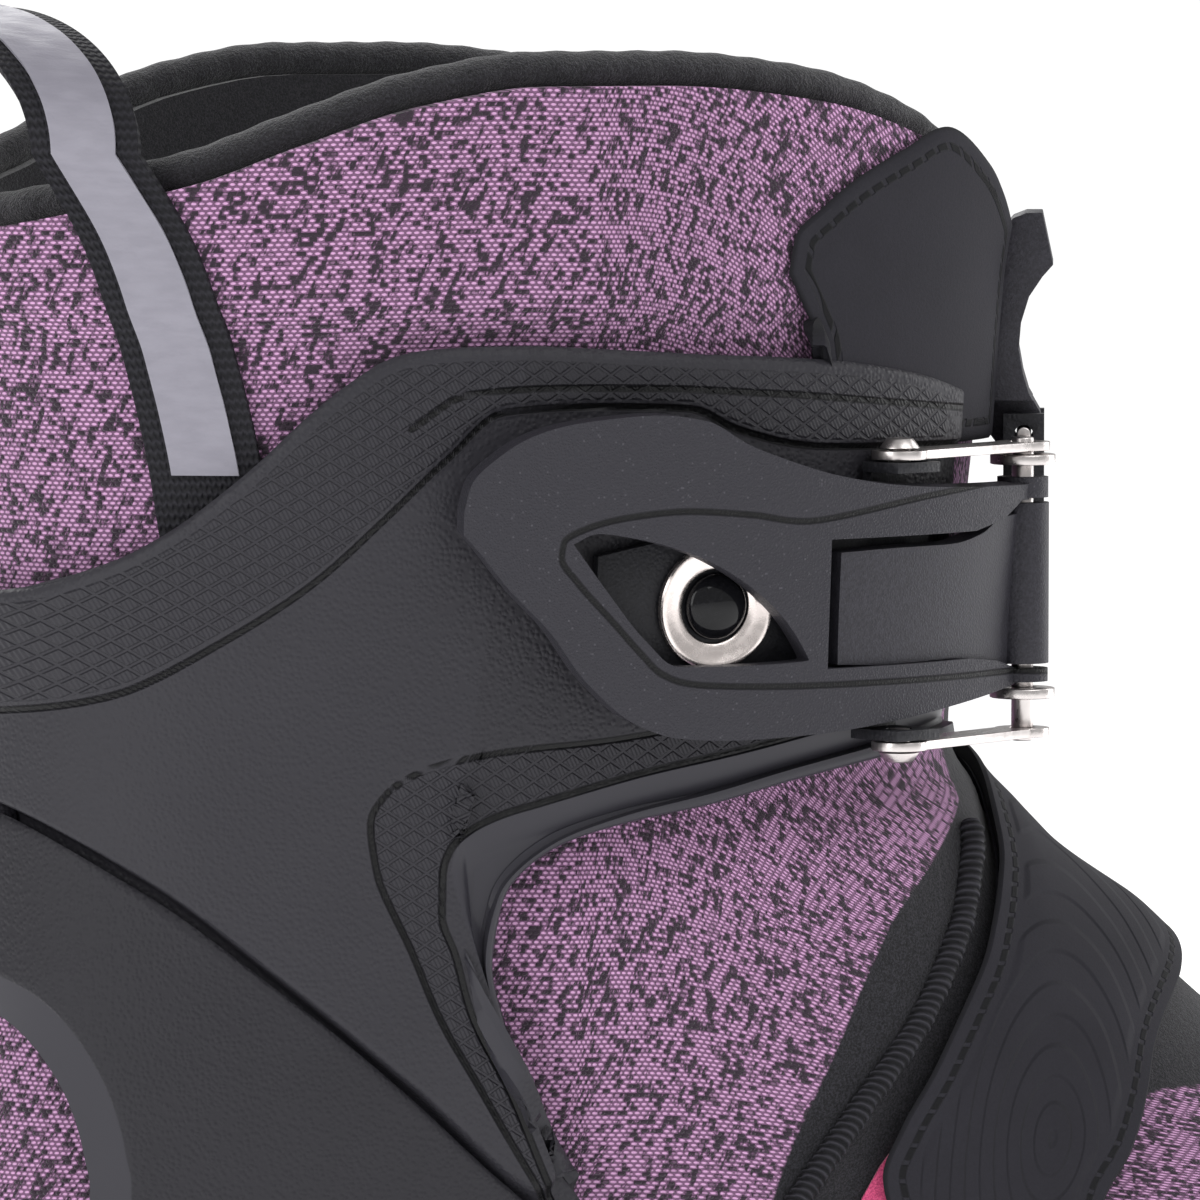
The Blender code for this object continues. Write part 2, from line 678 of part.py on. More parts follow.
def make_pivots(cuff, shell):
    """A rivet through shell and cuff on each side, with a spacer disc inside the cuff."""
    outer = half_width(0, PIVOT_NOMINAL, True) + shell_offset()
    for name, side in (("outer", -1), ("inner", 1)):
        hole = rod("pivot_hole_" + name, (0, side * (outer - 4), PIVOT_Z), (0, 1, 0),
                   RIVET_DIAMETER + 2 * GAP, 16, 20)
        cut(cuff, hole)
        cut(shell, hole)
        shank = SHELL_THICK + 4 * GAP + CUFF_TAIL_THICK + 0.2
        rivet = turned("pivot_rivet_" + name, (0, side * (outer + 3 * GAP), PIVOT_Z), (0, side, 0),
                       [(0, 2.6), (3.5, 2.3), (5.8, 1.4), (RIVET_HEAD_DIAMETER / 2, 0.0),
                        (RIVET_DIAMETER / 2, 0.0), (RIVET_DIAMETER / 2, -shank), (0, -shank)], 20)
        finish(rivet, (0.10, 0.10, 0.11), 0.3, 0.9)


# ---------------------------------------------------------------- toe cap

def make_toe_cap():
    top = [(60, 28), (66, 40), (73, 52), (81, 60), (90, 63)]
    low = [(60, 22), (66, 22), (73, 22), (81, 22), (90, 22)]
    rows = []
    for s in (0.0, 0.1, 0.22, 0.35, 0.48, 0.62, 0.8, 1.0):
        rows.append([(a[0] + (b[0] - a[0]) * s, max(WALL_FOOT_Z, a[1] + (b[1] - a[1]) * s))
                     for a, b in zip(top, low)])
    full = [row + [(180 - t, z) for t, z in reversed(row[:-1])] for row in rows]
    cap = sheet("toe_cap", full, [CAP_THICK + 2 * GAP] * 8, 20, CAP_THICK)
    finish(cap, *RUBBER)


# ---------------------------------------------------------------- straps

STRAP_REAR_EDGE = [(15, 72), (17, 82), (18, 90), (21, 97), (25.5, 104), (32, 113), (40, 121),
                   (51, 129), (66, 139), (90, 146)]
STRAP_FRONT_EDGE = [(22, 70), (28, 78), (31, 85), (36, 91), (42, 98), (48, 104), (55, 108.5),
                    (64, 112), (76, 115), (90, 117)]
STRAP_INNER_COLUMNS = 3    # columns left off on the inner side, where the strap is pinned


def strap_hinge():
    """Corner of the pinned inner end, about which the whole strap lifts."""
    turn, z = STRAP_REAR_EDGE[STRAP_INNER_COLUMNS]
    return wall(180 - turn, z, STRAP_STAND_OFF)


def make_instep_strap():
    rows = []
    for edge in (STRAP_REAR_EDGE, STRAP_FRONT_EDGE):
        inner = [(180 - t, z) for t, z in reversed(edge[STRAP_INNER_COLUMNS:-1])]
        rows.append(edge + inner)
    middle = [tuple(0.5 * (a[k] + b[k]) for k in (0, 1)) for a, b in zip(*rows)]
    strap = sheet("instep_strap", [rows[0], middle, rows[1]],
                  [STRAP_STAND_OFF + STRAP_THICK] * 3, 30, STRAP_THICK)
    finish(strap, *NUBUCK)
    return strap


# Pull loop: a webbing arch from the outer side over the back of the collar to the inner side.
LOOP_PATH = [(-51, 178), (-53, 190), (-56, 203), (-60, 217), (-66, 230)]
LOOP_STAND_OFF = 0.9
LOOP_RISE = 19.0           # how far the arch stands above the collar trim
LOOP_LEAN = 6.0            # how far its crown leans back


def loop_frames():
    """Centre line and width direction of the webbing, from the outer foot to the crown."""
    frames = []
    for x, z in LOOP_PATH:
        turn = turn_of(x, z, LOOP_STAND_OFF)
        place = wall(turn, z, LOOP_STAND_OFF + WEBBING_THICK)
        frames.append((place, (base_point(turn + 2, z) - base_point(turn - 2, z)).normalized()))
    foot, across = frames[-1]
    crown = Vector((foot.x - LOOP_LEAN, 0.0, foot.z + LOOP_RISE))
    for k in range(1, 6):
        swing = math.radians(90 * k / 5)
        place = Vector((foot.x + (crown.x - foot.x) * (1 - math.cos(swing)),
                        foot.y * math.cos(swing), foot.z + LOOP_RISE * math.sin(swing)))
        lean = across.lerp(Vector((1.0, 0.0, 0.0)), k / 5).normalized()
        frames.append((place, lean))
    return frames


def ribbon(name, frames, width, thick, lift):
    """A flat strap through frames of (place, width direction), mirrored to the inner side."""
    rows = []
    for side in (-0.5, -0.17, 0.17, 0.5):
        row = []
        for k, (place, across) in enumerate(frames):
            ahead = frames[min(k + 1, len(frames) - 1)][0] - frames[max(k - 1, 0)][0]
            if k == len(frames) - 1:
                ahead = Vector((0.0, 1.0, 0.0))
            out = across.cross(ahead).normalized()
            if out.dot(Vector((0.0, place.y, 12.0 if k > 4 else 0.0))) < 0:
                out = -out
            spot = place + across * (width * side) + out * lift
            if k == len(frames) - 1:
                spot.y = 0.0
            row.append(spot)
        rows.append(row)
    item = loft(name, rows)
    point_out(item, 150.0)
    return thicken(item, thick, mirror=True)


def make_pull_loop():
    frames = loop_frames()
    finish(ribbon("pull_loop", frames, WEBBING_WIDTH, WEBBING_THICK, 0.0), *FLEECE)
    tape = ribbon("reflective_tape", frames[1:], TAPE_WIDTH, TAPE_THICK, TAPE_THICK + GAP)
    finish(tape, (0.45, 0.44, 0.48), 0.35, 0.3)


# ---------------------------------------------------------------- buckle

# Lever seen from the side: the upper and lower edges at the same columns.
LEVER_TOP = [(-27, 184), (-26, 187.5), (-22, 191), (-17, 193.5), (-10, 195), (2, 195.8),
             (10, 195), (18, 191.5), (32, 187.5), (42, 186), (54, 185.3), (67.5, 185)]
LEVER_LOW = [(-27, 181), (-25, 179), (-20, 173.5), (-14, 168), (-8, 161), (0, 155.5),
             (8, 153.3), (18, 152.8), (30, 153), (42, 153.8), (54, 155), (67.5, 156.5)]
EYE = [(-9.5, 178.5), (-6, 179.8), (0, 179.6), (8, 177.5), (15, 174.5), (21, 169.5), (24, 165),
       (25.5, 162), (14, 161.6), (6, 161.8), (1, 165.5), (-4.5, 172)]
TAB_REAR_X = 33.0
TAB_LOW = 161.8
TAB_HIGH = 177.8
TAB_DROP = 1.1             # the leaning wall carries the tab's lower edge down by this
SLOT = 3.6                 # finger slot behind the tab
HINGE_X = 68.0
LINK_TOP_Z = 188.8
LINK_LOW_Z = 149.6
LINK_REAR_X = 44.0
EAR_THICK = 1.4
EAR_REACH = 3.7            # ear beyond the centre of the link's rear pin


def hinge_turn():
    return turn_of(HINGE_X, BUCKLE_Z, LEVER_STAND_OFF + LEVER_THICK)


def hinge_place(z):
    """Centre of the lever's upright hinge pin at a height."""
    spot = wall(hinge_turn(), BUCKLE_Z, LEVER_STAND_OFF + LEVER_THICK - 0.5)
    return Vector((spot.x, spot.y, z * COLLAR_HEIGHT / NOMINAL_HEIGHT))


def side_prism(name, outline, near=-100.0, far=-8.0):
    """A cutter through the outer side from an outline of (x, z) points."""
    curve = bpy.data.curves.new(name, "CURVE")
    curve.dimensions = "2D"
    curve.fill_mode = "BOTH"
    curve.extrude = (far - near) / 2 * MM
    line = curve.splines.new("POLY")
    line.points.add(len(outline) - 1)
    for point, (x, z) in zip(line.points, outline):
        point.co = (x * MM, z * COLLAR_HEIGHT / NOMINAL_HEIGHT * MM, 0.0, 1.0)
    line.use_cyclic_u = True
    item = bpy.data.objects.new(name, curve)
    item.location.y = (near + far) / 2 * MM
    item.rotation_euler.x = math.radians(90)
    COLLECTION.objects.link(item)
    return as_mesh(item)


def between(upper, lower, count):
    return [[(a[0] + (b[0] - a[0]) * s / count, a[1] + (b[1] - a[1]) * s / count)
             for a, b in zip(upper, lower)] for s in range(count + 1)]


def make_lever():
    off = LEVER_STAND_OFF + LEVER_THICK
    rows = between(side_curve(LEVER_TOP, off), side_curve(LEVER_LOW, off), 4)
    lever = sheet("lever", rows, [off] * 5, 22, LEVER_THICK)
    cut(lever, side_prism("eye_cutter", EYE))
    tab_foot = TAB_LOW - TAB_DROP
    notch = [(TAB_REAR_X - SLOT, tab_foot - GAP), (90, tab_foot - GAP), (90, TAB_HIGH + GAP),
             (TAB_REAR_X - SLOT, TAB_HIGH + GAP)]
    cut(lever, side_prism("tab_notch", notch))
    tab_off = LEVER_STAND_OFF + TAB_THICK
    tab_x = (TAB_REAR_X, 42, 54, HINGE_X - 0.5)
    tab_top = side_curve([(x, TAB_HIGH) for x in tab_x], tab_off)
    tab_low = side_curve([(x, TAB_LOW) for x in tab_x], tab_off)
    tab = sheet("lever_tab", between(tab_top, tab_low, 1), [tab_off] * 2, 10, TAB_THICK)
    middle = hinge_place(BUCKLE_Z)
    knuckle = HINGE_PIN_DIAMETER + 4.0
    scale = COLLAR_HEIGHT / NOMINAL_HEIGHT
    spans = (("lever", lever, 156.6, tab_foot - GAP), ("lever", lever, TAB_HIGH + GAP, 184.6),
             ("tab", tab, tab_foot, TAB_HIGH))
    for number, (owner, item, low, high) in enumerate(spans):
        centre = (middle.x, middle.y, (low + high) / 2 * scale)
        barrel = rod(f"{owner}_barrel_{number}", centre, (0, 0, 1), knuckle, (high - low) * scale, 20)
        combine(item, barrel, "UNION")
    bore = rod("hinge_bore", middle, (0, 0, 1), HINGE_PIN_DIAMETER + 2 * GAP, 60, 20)
    cut(lever, bore)
    cut(tab, bore)
    finish(lever, *BLACK_PLASTIC)
    finish(tab, *BLACK_PLASTIC)
    ends = (LINK_LOW_Z - LINK_THICK, LINK_TOP_Z + LINK_THICK)
    pin = rod("hinge_pin", hinge_place(sum(ends) / 2), (0, 0, 1), HINGE_PIN_DIAMETER,
              (ends[1] - ends[0]) * scale, 20)
    finish(pin, *STEEL)
    for name, z in (("washer_top", 187.0), ("washer_low", 155.0)):
        washer = rod(name, hinge_place(z), (0, 0, 1), 9.0, 1.4, 20)
        cut(washer, bore)
        finish(washer, *STEEL)


def level(direction):
    return Vector((direction.x, direction.y, 0.0)).normalized()


def add_ears(base):
    """An ear above and below the base plate, each with the bore for a link's rear pin."""
    turn = turn_of(LINK_REAR_X, BUCKLE_Z, LEVER_STAND_OFF + LEVER_THICK / 2)
    out = level(normal_at(turn, BUCKLE_Z))
    along = Vector((-out.y, out.x, 0.0))
    for number, (z, down) in enumerate(((LINK_TOP_Z, -1), (LINK_LOW_Z, 1))):
        rear = link_rear(z)
        foot = wall(turn, z + down * 5.5, CUFF_STAND_OFF + CUFF_THICK + BASE_THICK - GAP)
        riser = block(f"ear_riser_{number}", foot, along, out, (7.0, 1.6, 8.4))
        inner = (rear - foot).dot(out)
        lift = Vector((0, 0, down * (LINK_THICK / 2 + GAP + EAR_THICK / 2)))
        ear = block(f"ear_{number}", rear + out * ((EAR_REACH - inner) / 2) + lift, along, out,
                    (8.0, EAR_REACH + inner, EAR_THICK))
        combine(base, riser, "UNION")
        combine(base, ear, "UNION")
        cut(base, rod(f"ear_bore_{number}", rear, (0, 0, 1), HINGE_PIN_DIAMETER + 2 * GAP, 8, 20))


def make_buckle_base(cuff):
    cuff_face = CUFF_STAND_OFF + CUFF_THICK
    off = cuff_face + 2 * GAP + BASE_THICK
    upper = side_curve([(-4, 177), (8, 179), (22, 180), (36, 181), (50, 181)], off)
    lower = side_curve([(-4, 164), (8, 161), (22, 159), (36, 159), (50, 159)], off)
    base = sheet("buckle_base", between(upper, lower, 2), [off] * 3, 12, BASE_THICK)
    turn = turn_of(14.2, BUCKLE_Z, off)
    face = wall(turn, BUCKLE_Z, off)
    out = normal_at(turn, BUCKLE_Z)
    hole = rod("base_hole", face, out, RIVET_DIAMETER - 1 + 2 * GAP, 16, 20)
    add_ears(base)
    cut(base, hole)
    cut(cuff, hole)
    outer = RING_DIAMETER / 2
    inner = DOME_DIAMETER / 2 + 2 * GAP
    ring_piece = turned("ring_washer", face + out * GAP, out,
                        [(inner, 0.4), (outer - 0.6, 1.0), (outer, 0.8), (outer, 0.0), (inner, 0.0),
                         (inner, 0.4)], 32)
    finish(ring_piece, *STEEL)
    shank = BASE_THICK + CUFF_THICK + 3 * GAP
    dome = DOME_DIAMETER / 2
    stem = (RIVET_DIAMETER - 1) / 2
    rivet = turned("base_rivet", face + out * GAP, out,
                   [(0, 2.4), (dome * 0.5, 2.1), (dome * 0.87, 1.3), (dome, 0.0), (stem, 0.0),
                    (stem, -shank), (0, -shank)], 24)
    finish(rivet, (0.02, 0.02, 0.024), 0.12)
    finish(base, *BLACK_PLASTIC)


# ---------------------------------------------------------------- strap side of the buckle

LADDER_FIRST = 52.0        # turn at which the ladder strap ends under the lever
LADDER_LAST = 141.0        # turn at which it is riveted to the inner side of the cuff
RECEIVER_FIRST = 62.5
RECEIVER_LAST = 80.0
RECEIVER_WALL = 2.4
PADDLE_TURN = 70.0
PADDLE_LOW_Z = 190.0


def level_band(name, first, last, low, high, off, thick, steps=1):
    return open_band(name, first, last, lambda t: low, lambda t: high, off, thick, steps, 2)


def ladder_off():
    return CUFF_STAND_OFF + CUFF_THICK + 0.5


def make_ladder(cuff):
    """The toothed strap that crosses the shin, and the rivet that holds its inner end."""
    outside = ladder_off() + LADDER_THICK
    low = BUCKLE_Z - LADDER_HEIGHT / 2
    strap = level_band("ladder_strap", LADDER_FIRST, LADDER_LAST, low, low + LADDER_HEIGHT,
                       outside, LADDER_THICK)
    turn = LADDER_LAST - 6
    place = wall(turn, BUCKLE_Z, outside)
    out = normal_at(turn, BUCKLE_Z)
    hole = rod("ladder_hole", place, out, RIVET_DIAMETER - 1 + 2 * GAP, 24, 20)
    cut(strap, hole)
    cut(cuff, hole)
    shank = outside - CUFF_STAND_OFF + GAP
    stem = (RIVET_DIAMETER - 1) / 2
    rivet = turned("ladder_rivet", place + out * GAP, out,
                   [(0, 1.8), (3.0, 1.5), (5.0, 0.0), (stem, 0.0), (stem, -shank), (0, -shank)], 20)
    finish(strap, *BLACK_PLASTIC)
    finish(rivet, *STEEL)


def make_receiver():
    """Ratchet housing round the ladder strap, with lugs for the release paddle."""
    outside = ladder_off() + LADDER_THICK + GAP + RECEIVER_WALL
    low = BUCKLE_Z - LADDER_HEIGHT / 2
    body_thick = LADDER_THICK + 2 * GAP + 2 * RECEIVER_WALL - 1.2
    top = low + LADDER_HEIGHT + RECEIVER_WALL
    body = level_band("strap_receiver", RECEIVER_FIRST, RECEIVER_LAST, low - RECEIVER_WALL, top,
                      outside, body_thick)
    slot = level_band("ladder_slot", RECEIVER_FIRST - 9, RECEIVER_LAST + 9, low - 2 * GAP,
                      low + LADDER_HEIGHT + 2 * GAP, ladder_off() + LADDER_THICK + 2 * GAP,
                      LADDER_THICK + 4 * GAP)
    cut(body, slot)
    out, along, centre = paddle_frame()
    for number, side in enumerate((-1, 1)):
        spot = centre + along * (side * (PADDLE_WIDTH / 2 - 1.8)) - Vector((0, 0, 4.5))
        lug = block(f"lug_{number}", spot, along, out, (3.0, 5.6, 14.6))
        combine(body, lug, "UNION")
    bore = rod("paddle_bore", centre, along, PADDLE_PIN_DIAMETER + 2 * GAP, PADDLE_WIDTH + 6, 16)
    cut(body, bore)
    finish(body, *BLACK_PLASTIC)
    return bore


def paddle_frame():
    """Outward and sideways directions at the paddle, and the middle of its hinge pin."""
    off = ladder_off() + LADDER_THICK + GAP + RECEIVER_WALL - 0.5
    out = normal_at(PADDLE_TURN, BUCKLE_Z)
    out = level(out)
    along = Vector((-out.y, out.x, 0.0))
    spot = wall(PADDLE_TURN, BUCKLE_Z, off)
    centre = Vector((spot.x, spot.y, PADDLE_LOW_Z * COLLAR_HEIGHT / NOMINAL_HEIGHT))
    return out, along, centre


def block(name, centre, along, out, size):
    """A box with its sides along two level directions."""
    work = bmesh.new()
    bmesh.ops.create_cube(work, size=1.0)
    turn = Matrix((along, out, (0, 0, 1))).transposed().to_4x4()
    place = Matrix.Translation(Vector(centre) * MM) @ turn
    bmesh.ops.scale(work, vec=[s * MM for s in size], verts=work.verts)
    bmesh.ops.transform(work, matrix=place, verts=work.verts)
    bmesh.ops.recalc_face_normals(work, faces=work.faces)
    mesh = bpy.data.meshes.new(name)
    work.to_mesh(mesh)
    work.free()
    item = bpy.data.objects.new(name, mesh)
    COLLECTION.objects.link(item)
    return item


# Paddle outline in its own plane, hollow side out: (outwards, up) from its hinge.
PADDLE_OUTLINE = [(-5.5, 1.0), (-6.8, 8.3), (-6.8, 14.4), (-6.1, 18.9), (-5.0, 24.3),
                  (-3.3, 27.7), (-1.5, 29.7), (0.3, 30.4), (2.5, 30.4), (4.0, 23.3), (2.5, 21.6),
                  (0.7, 18.9), (-0.4, 15.3), (-0.7, 11.7), (-0.1, 8.3), (0.7, 5.6), (2.2, 3.0),
                  (2.7, 0.5), (2.0, -2.0), (0.0, -2.8), (-3.0, -2.4)]


def make_paddle(bore):
    out, along, centre = paddle_frame()
    scale = PADDLE_HEIGHT / 30.0
    curve = bpy.data.curves.new("release_paddle", "CURVE")
    curve.dimensions = "2D"
    curve.fill_mode = "BOTH"
    curve.extrude = PADDLE_WIDTH / 2 * MM
    line = curve.splines.new("POLY")
    line.points.add(len(PADDLE_OUTLINE) - 1)
    for point, (x, z) in zip(line.points, PADDLE_OUTLINE):
        point.co = (x * MM, z * (scale if z > 5 else 1.0) * MM, 0.0, 1.0)
    line.use_cyclic_u = True
    item = bpy.data.objects.new("release_paddle", curve)
    up = Vector((0, 0, 1))
    turn = Matrix((out, up, out.cross(up))).transposed().to_4x4()
    item.matrix_world = Matrix.Translation(centre * MM) @ turn
    COLLECTION.objects.link(item)
    paddle = as_mesh(item)
    for number, side in enumerate((-1, 1)):
        spot = centre + along * (side * (PADDLE_WIDTH / 2 - 1.0))
        notch = block(f"paddle_notch_{number}", spot, along, out, (5.2, 20.0, 9.2))
        cut(paddle, notch)
    cut(paddle, bore)
    finish(paddle, *BLACK_PLASTIC)
    pin = rod("paddle_pin", centre, along, PADDLE_PIN_DIAMETER, PADDLE_WIDTH - 0.4, 16)
    finish(pin, *STEEL)


def make_links():
    """Flat steel links above and below the lever, from the base's ears to the hinge pin."""
    scale = COLLAR_HEIGHT / NOMINAL_HEIGHT
    for name, z, head in (("top", LINK_TOP_Z, 1), ("low", LINK_LOW_Z, -1)):
        front = hinge_place(z)
        rear = link_rear(z)
        along = (front - rear).normalized()
        side = Vector((-along.y, along.x, 0.0))
        link = block("link_" + name, (front + rear) / 2, along, side,
                     ((front - rear).length, LINK_WIDTH, LINK_THICK))
        for number, spot in enumerate((front, rear)):
            eye = rod(f"link_{name}_eye_{number}", spot, (0, 0, 1), LINK_WIDTH + 1.5, LINK_THICK, 20)
            combine(link, eye, "UNION")
        for number, spot in enumerate((front, rear)):
            hole = rod(f"link_{name}_hole_{number}", spot, (0, 0, 1),
                       HINGE_PIN_DIAMETER + 2 * GAP, 8, 20)
            cut(link, hole)
        finish(link, *STEEL)
        stem = HINGE_PIN_DIAMETER / 2
        shank = LINK_THICK + 2 * GAP + EAR_THICK
        stud = turned("link_pin_" + name, rear + Vector((0, 0, head * (LINK_THICK / 2 + GAP))),
                      (0, 0, head), [(0, 1.5), (1.8, 1.3), (2.8, 0.0), (stem, 0.0),
                                     (stem, -shank), (0, -shank)], 20)
        finish(stud, *STEEL)


def link_rear(z):
    """Centre of a link's rear pin at a height."""
    off = LEVER_STAND_OFF + LEVER_THICK / 2
    rear = wall(turn_of(LINK_REAR_X, BUCKLE_Z, off), BUCKLE_Z, off - 0.5)
    return Vector((rear.x, rear.y, z * COLLAR_HEIGHT / NOMINAL_HEIGHT))


def make_strap_fittings():
    """Coral hook patch under the strap's end and the pinned plate at its inner end."""
    upper = [(15, 90), (19, 92), (23, 93), (27, 94)]
    lower = [(13, 66), (17, 66), (21, 66), (25, 66)]
    hook = sheet("hook_patch", between(upper, lower, 2), [1.3] * 3, 6, 1.0)
    finish(hook, (0.60, 0.06, 0.12), 0.8)
    first, last = (180 - 36, 180 - 20)
    plate = open_band("strap_anchor", first, last, lambda t: 77.0, lambda t: 93.0,
                      STRAP_STAND_OFF - GAP, 1.2, 3)
    finish(plate, *BLACK_PLASTIC)


# ---------------------------------------------------------------- assembly

ON_CUFF = ("cuff", "upper_collar", "liner_collar", "collar_trim", "tongue_shin",
           "collar_patch_outer", "collar_patch_inner", "buckle_base", "ring_washer", "base_rivet",
           "link_top", "link_low", "link_pin_top", "link_pin_low", "hinge_pin", "washer_top",
           "washer_low", "ladder_strap", "ladder_rivet", "strap_receiver", "paddle_pin")


def place_origins():
    """Put each moving piece's origin on the axis it turns about."""
    pivots = {name: (0.0, 0.0, PIVOT_Z) for name in ON_CUFF}
    pivots["lever"] = hinge_place(BUCKLE_Z)
    pivots["lever_tab"] = hinge_place(BUCKLE_Z)
    pivots["release_paddle"] = paddle_frame()[2]
    pivots["pull_loop"] = (LOOP_PATH[0][0], 0.0, LOOP_PATH[0][1])
    pivots["reflective_tape"] = pivots["pull_loop"]
    pivots["instep_strap"] = strap_hinge()
    for name, point in pivots.items():
        set_origin(COLLECTION.objects[name], point)


def main():
    clear_scene()
    make_sole()
    make_upper()
    make_tongue()
    make_patches()
    make_piping()
    shell = make_shell()
    cuff = make_cuff()
    make_pivots(cuff, shell)
    make_pull_loop()
    make_lever()
    make_buckle_base(cuff)
    make_links()
    make_ladder(cuff)
    make_paddle(make_receiver())
    make_strap_fittings()
    finish(shell, *BLACK_PLASTIC)
    finish(cuff, *BLACK_PLASTIC)
    make_toe_cap()
    make_instep_strap()
    place_origins()


main()
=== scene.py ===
# %% [markdown]
# # A cross country boot with a knit upper and a side buckle
# The imported CAD model comes in as a fixed frame. Hard parts whose shape is right keep their CAD
# mesh or a bevelled copy of it. Soft parts, and the two big plastic shells, are modelled again
# with more shape, and each new piece hides the CAD node it stands for.

import math

import bmesh
import bpy
import numpy as np
from mathutils import Matrix, Vector


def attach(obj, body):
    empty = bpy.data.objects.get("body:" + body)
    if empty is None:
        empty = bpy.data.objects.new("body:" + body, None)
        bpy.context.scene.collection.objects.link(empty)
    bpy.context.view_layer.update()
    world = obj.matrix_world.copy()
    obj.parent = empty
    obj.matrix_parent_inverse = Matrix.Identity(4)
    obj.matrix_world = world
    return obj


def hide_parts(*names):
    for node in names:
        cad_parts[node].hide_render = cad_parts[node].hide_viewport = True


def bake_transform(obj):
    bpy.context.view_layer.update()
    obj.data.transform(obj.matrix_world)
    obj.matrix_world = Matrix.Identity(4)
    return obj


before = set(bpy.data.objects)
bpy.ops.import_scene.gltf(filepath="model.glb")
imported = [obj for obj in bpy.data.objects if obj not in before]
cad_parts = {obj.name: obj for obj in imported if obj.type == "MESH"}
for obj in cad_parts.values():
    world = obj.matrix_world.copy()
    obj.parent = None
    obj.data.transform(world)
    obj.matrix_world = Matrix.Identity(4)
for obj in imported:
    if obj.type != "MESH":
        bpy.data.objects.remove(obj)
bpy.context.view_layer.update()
MM = 0.001

# %% [markdown]
# ## Camera, floor and light
# A long lens from the outer side, turned 22 degrees towards the heel, and close on the ankle.
# The floor is pale and the light is soft: a key lamp above and in front, a lamp at the heel, one
# at the toe and one behind. The world is brighter to the eye of the camera than to the boot.

# %% Camera, floor and lamps
VIEW_TURN, VIEW_RISE, VIEW_FAR = math.radians(-22.0), math.radians(4.0), 1.3
LOOK_AT = Vector((0.0, -0.050, 0.170))
FRAME_WIDTH = 0.160


def place_camera():
    lens = bpy.data.cameras.new("boot_camera")
    lens.sensor_width = 36.0
    lens.lens = 36.0 * VIEW_FAR / FRAME_WIDTH
    lens.clip_end = 50.0
    camera = bpy.data.objects.new("boot_camera", lens)
    back = Vector((math.sin(VIEW_TURN) * math.cos(VIEW_RISE),
                   -math.cos(VIEW_TURN) * math.cos(VIEW_RISE), math.sin(VIEW_RISE)))
    camera.location = LOOK_AT + back * VIEW_FAR
    camera.rotation_euler = back.to_track_quat("Z", "Y").to_euler()
    bpy.context.scene.collection.objects.link(camera)
    bpy.context.scene.camera = camera


def add_lamp(name, place, aim, size, watts, colour=(1, 1, 1)):
    lamp = bpy.data.lights.new(name, "AREA")
    lamp.shape = "RECTANGLE"
    lamp.size, lamp.size_y = size
    lamp.energy = watts
    lamp.color = colour
    item = bpy.data.objects.new(name, lamp)
    item.location = place
    item.rotation_euler = (Vector(place) - Vector(aim)).to_track_quat("Z", "Y").to_euler()
    bpy.context.scene.collection.objects.link(item)


place_camera()
add_lamp("key_lamp", (0.35, -0.75, 0.95), (0, 0, 0.15), (0.9, 0.6), 4.0)
add_lamp("heel_lamp", (-0.95, -0.45, 0.55), (0, 0, 0.15), (0.5, 0.9), 4.5)
add_lamp("toe_lamp", (0.95, 0.10, 0.40), (0.02, 0, 0.15), (0.5, 0.8), 3.5)
add_lamp("back_lamp", (-0.1, 0.8, 0.8), (0, 0, 0.15), (0.9, 0.6), 8.0)
world = bpy.data.worlds.new("white_studio")
world.use_nodes = True
tree = world.node_tree
backdrop = tree.nodes["Background"]
backdrop.inputs["Color"].default_value = (1.0, 1.0, 1.0, 1.0)
seen = tree.nodes.new("ShaderNodeLightPath")
strength = tree.nodes.new("ShaderNodeMapRange")
strength.inputs["To Min"].default_value = 0.5
strength.inputs["To Max"].default_value = 1.05
tree.links.new(seen.outputs["Is Camera Ray"], strength.inputs["Value"])
tree.links.new(strength.outputs["Result"], backdrop.inputs["Strength"])
bpy.context.scene.world = world
bpy.context.scene.view_settings.view_transform = "Standard"

bpy.ops.object.select_all(action="DESELECT")
bpy.ops.mesh.primitive_plane_add(size=6.0, location=(0, 0, 0))
floor = bpy.context.object
floor.name = "floor"
pale = bpy.data.materials.new("pale_floor")
pale.use_nodes = True
pale.node_tree.nodes["Principled BSDF"].inputs["Base Color"].default_value = (0.9, 0.9, 0.9, 1.0)
pale.node_tree.nodes["Principled BSDF"].inputs["Roughness"].default_value = 0.9
pale.node_tree.nodes["Principled BSDF"].inputs["Emission Color"].default_value = (1, 1, 1, 1)
pale.node_tree.nodes["Principled BSDF"].inputs["Emission Strength"].default_value = 0.62
floor.data.materials.append(pale)
print("camera and", len(bpy.data.lights), "lamps placed")

# %% [markdown]
# ## Shader arithmetic
# A material is a formula over the surface. `Value` wraps one socket, so that patterns are
# written as Python expressions, and `Finish` makes the nodes of one material.

# %% Socket arithmetic and the material maker


class Value:
    """A number that changes over the surface."""

    def __init__(self, finish, socket):
        self.finish, self.socket = finish, socket

    def __add__(self, other):
        return self.finish.math("ADD", self, other)

    def __sub__(self, other):
        return self.finish.math("SUBTRACT", self, other)

    def __rsub__(self, other):
        return self.finish.math("SUBTRACT", other, self)

    def __mul__(self, other):
        return self.finish.math("MULTIPLY", self, other)

    def __truediv__(self, other):
        return self.finish.math("DIVIDE", self, other)

    __radd__ = __add__
    __rmul__ = __mul__


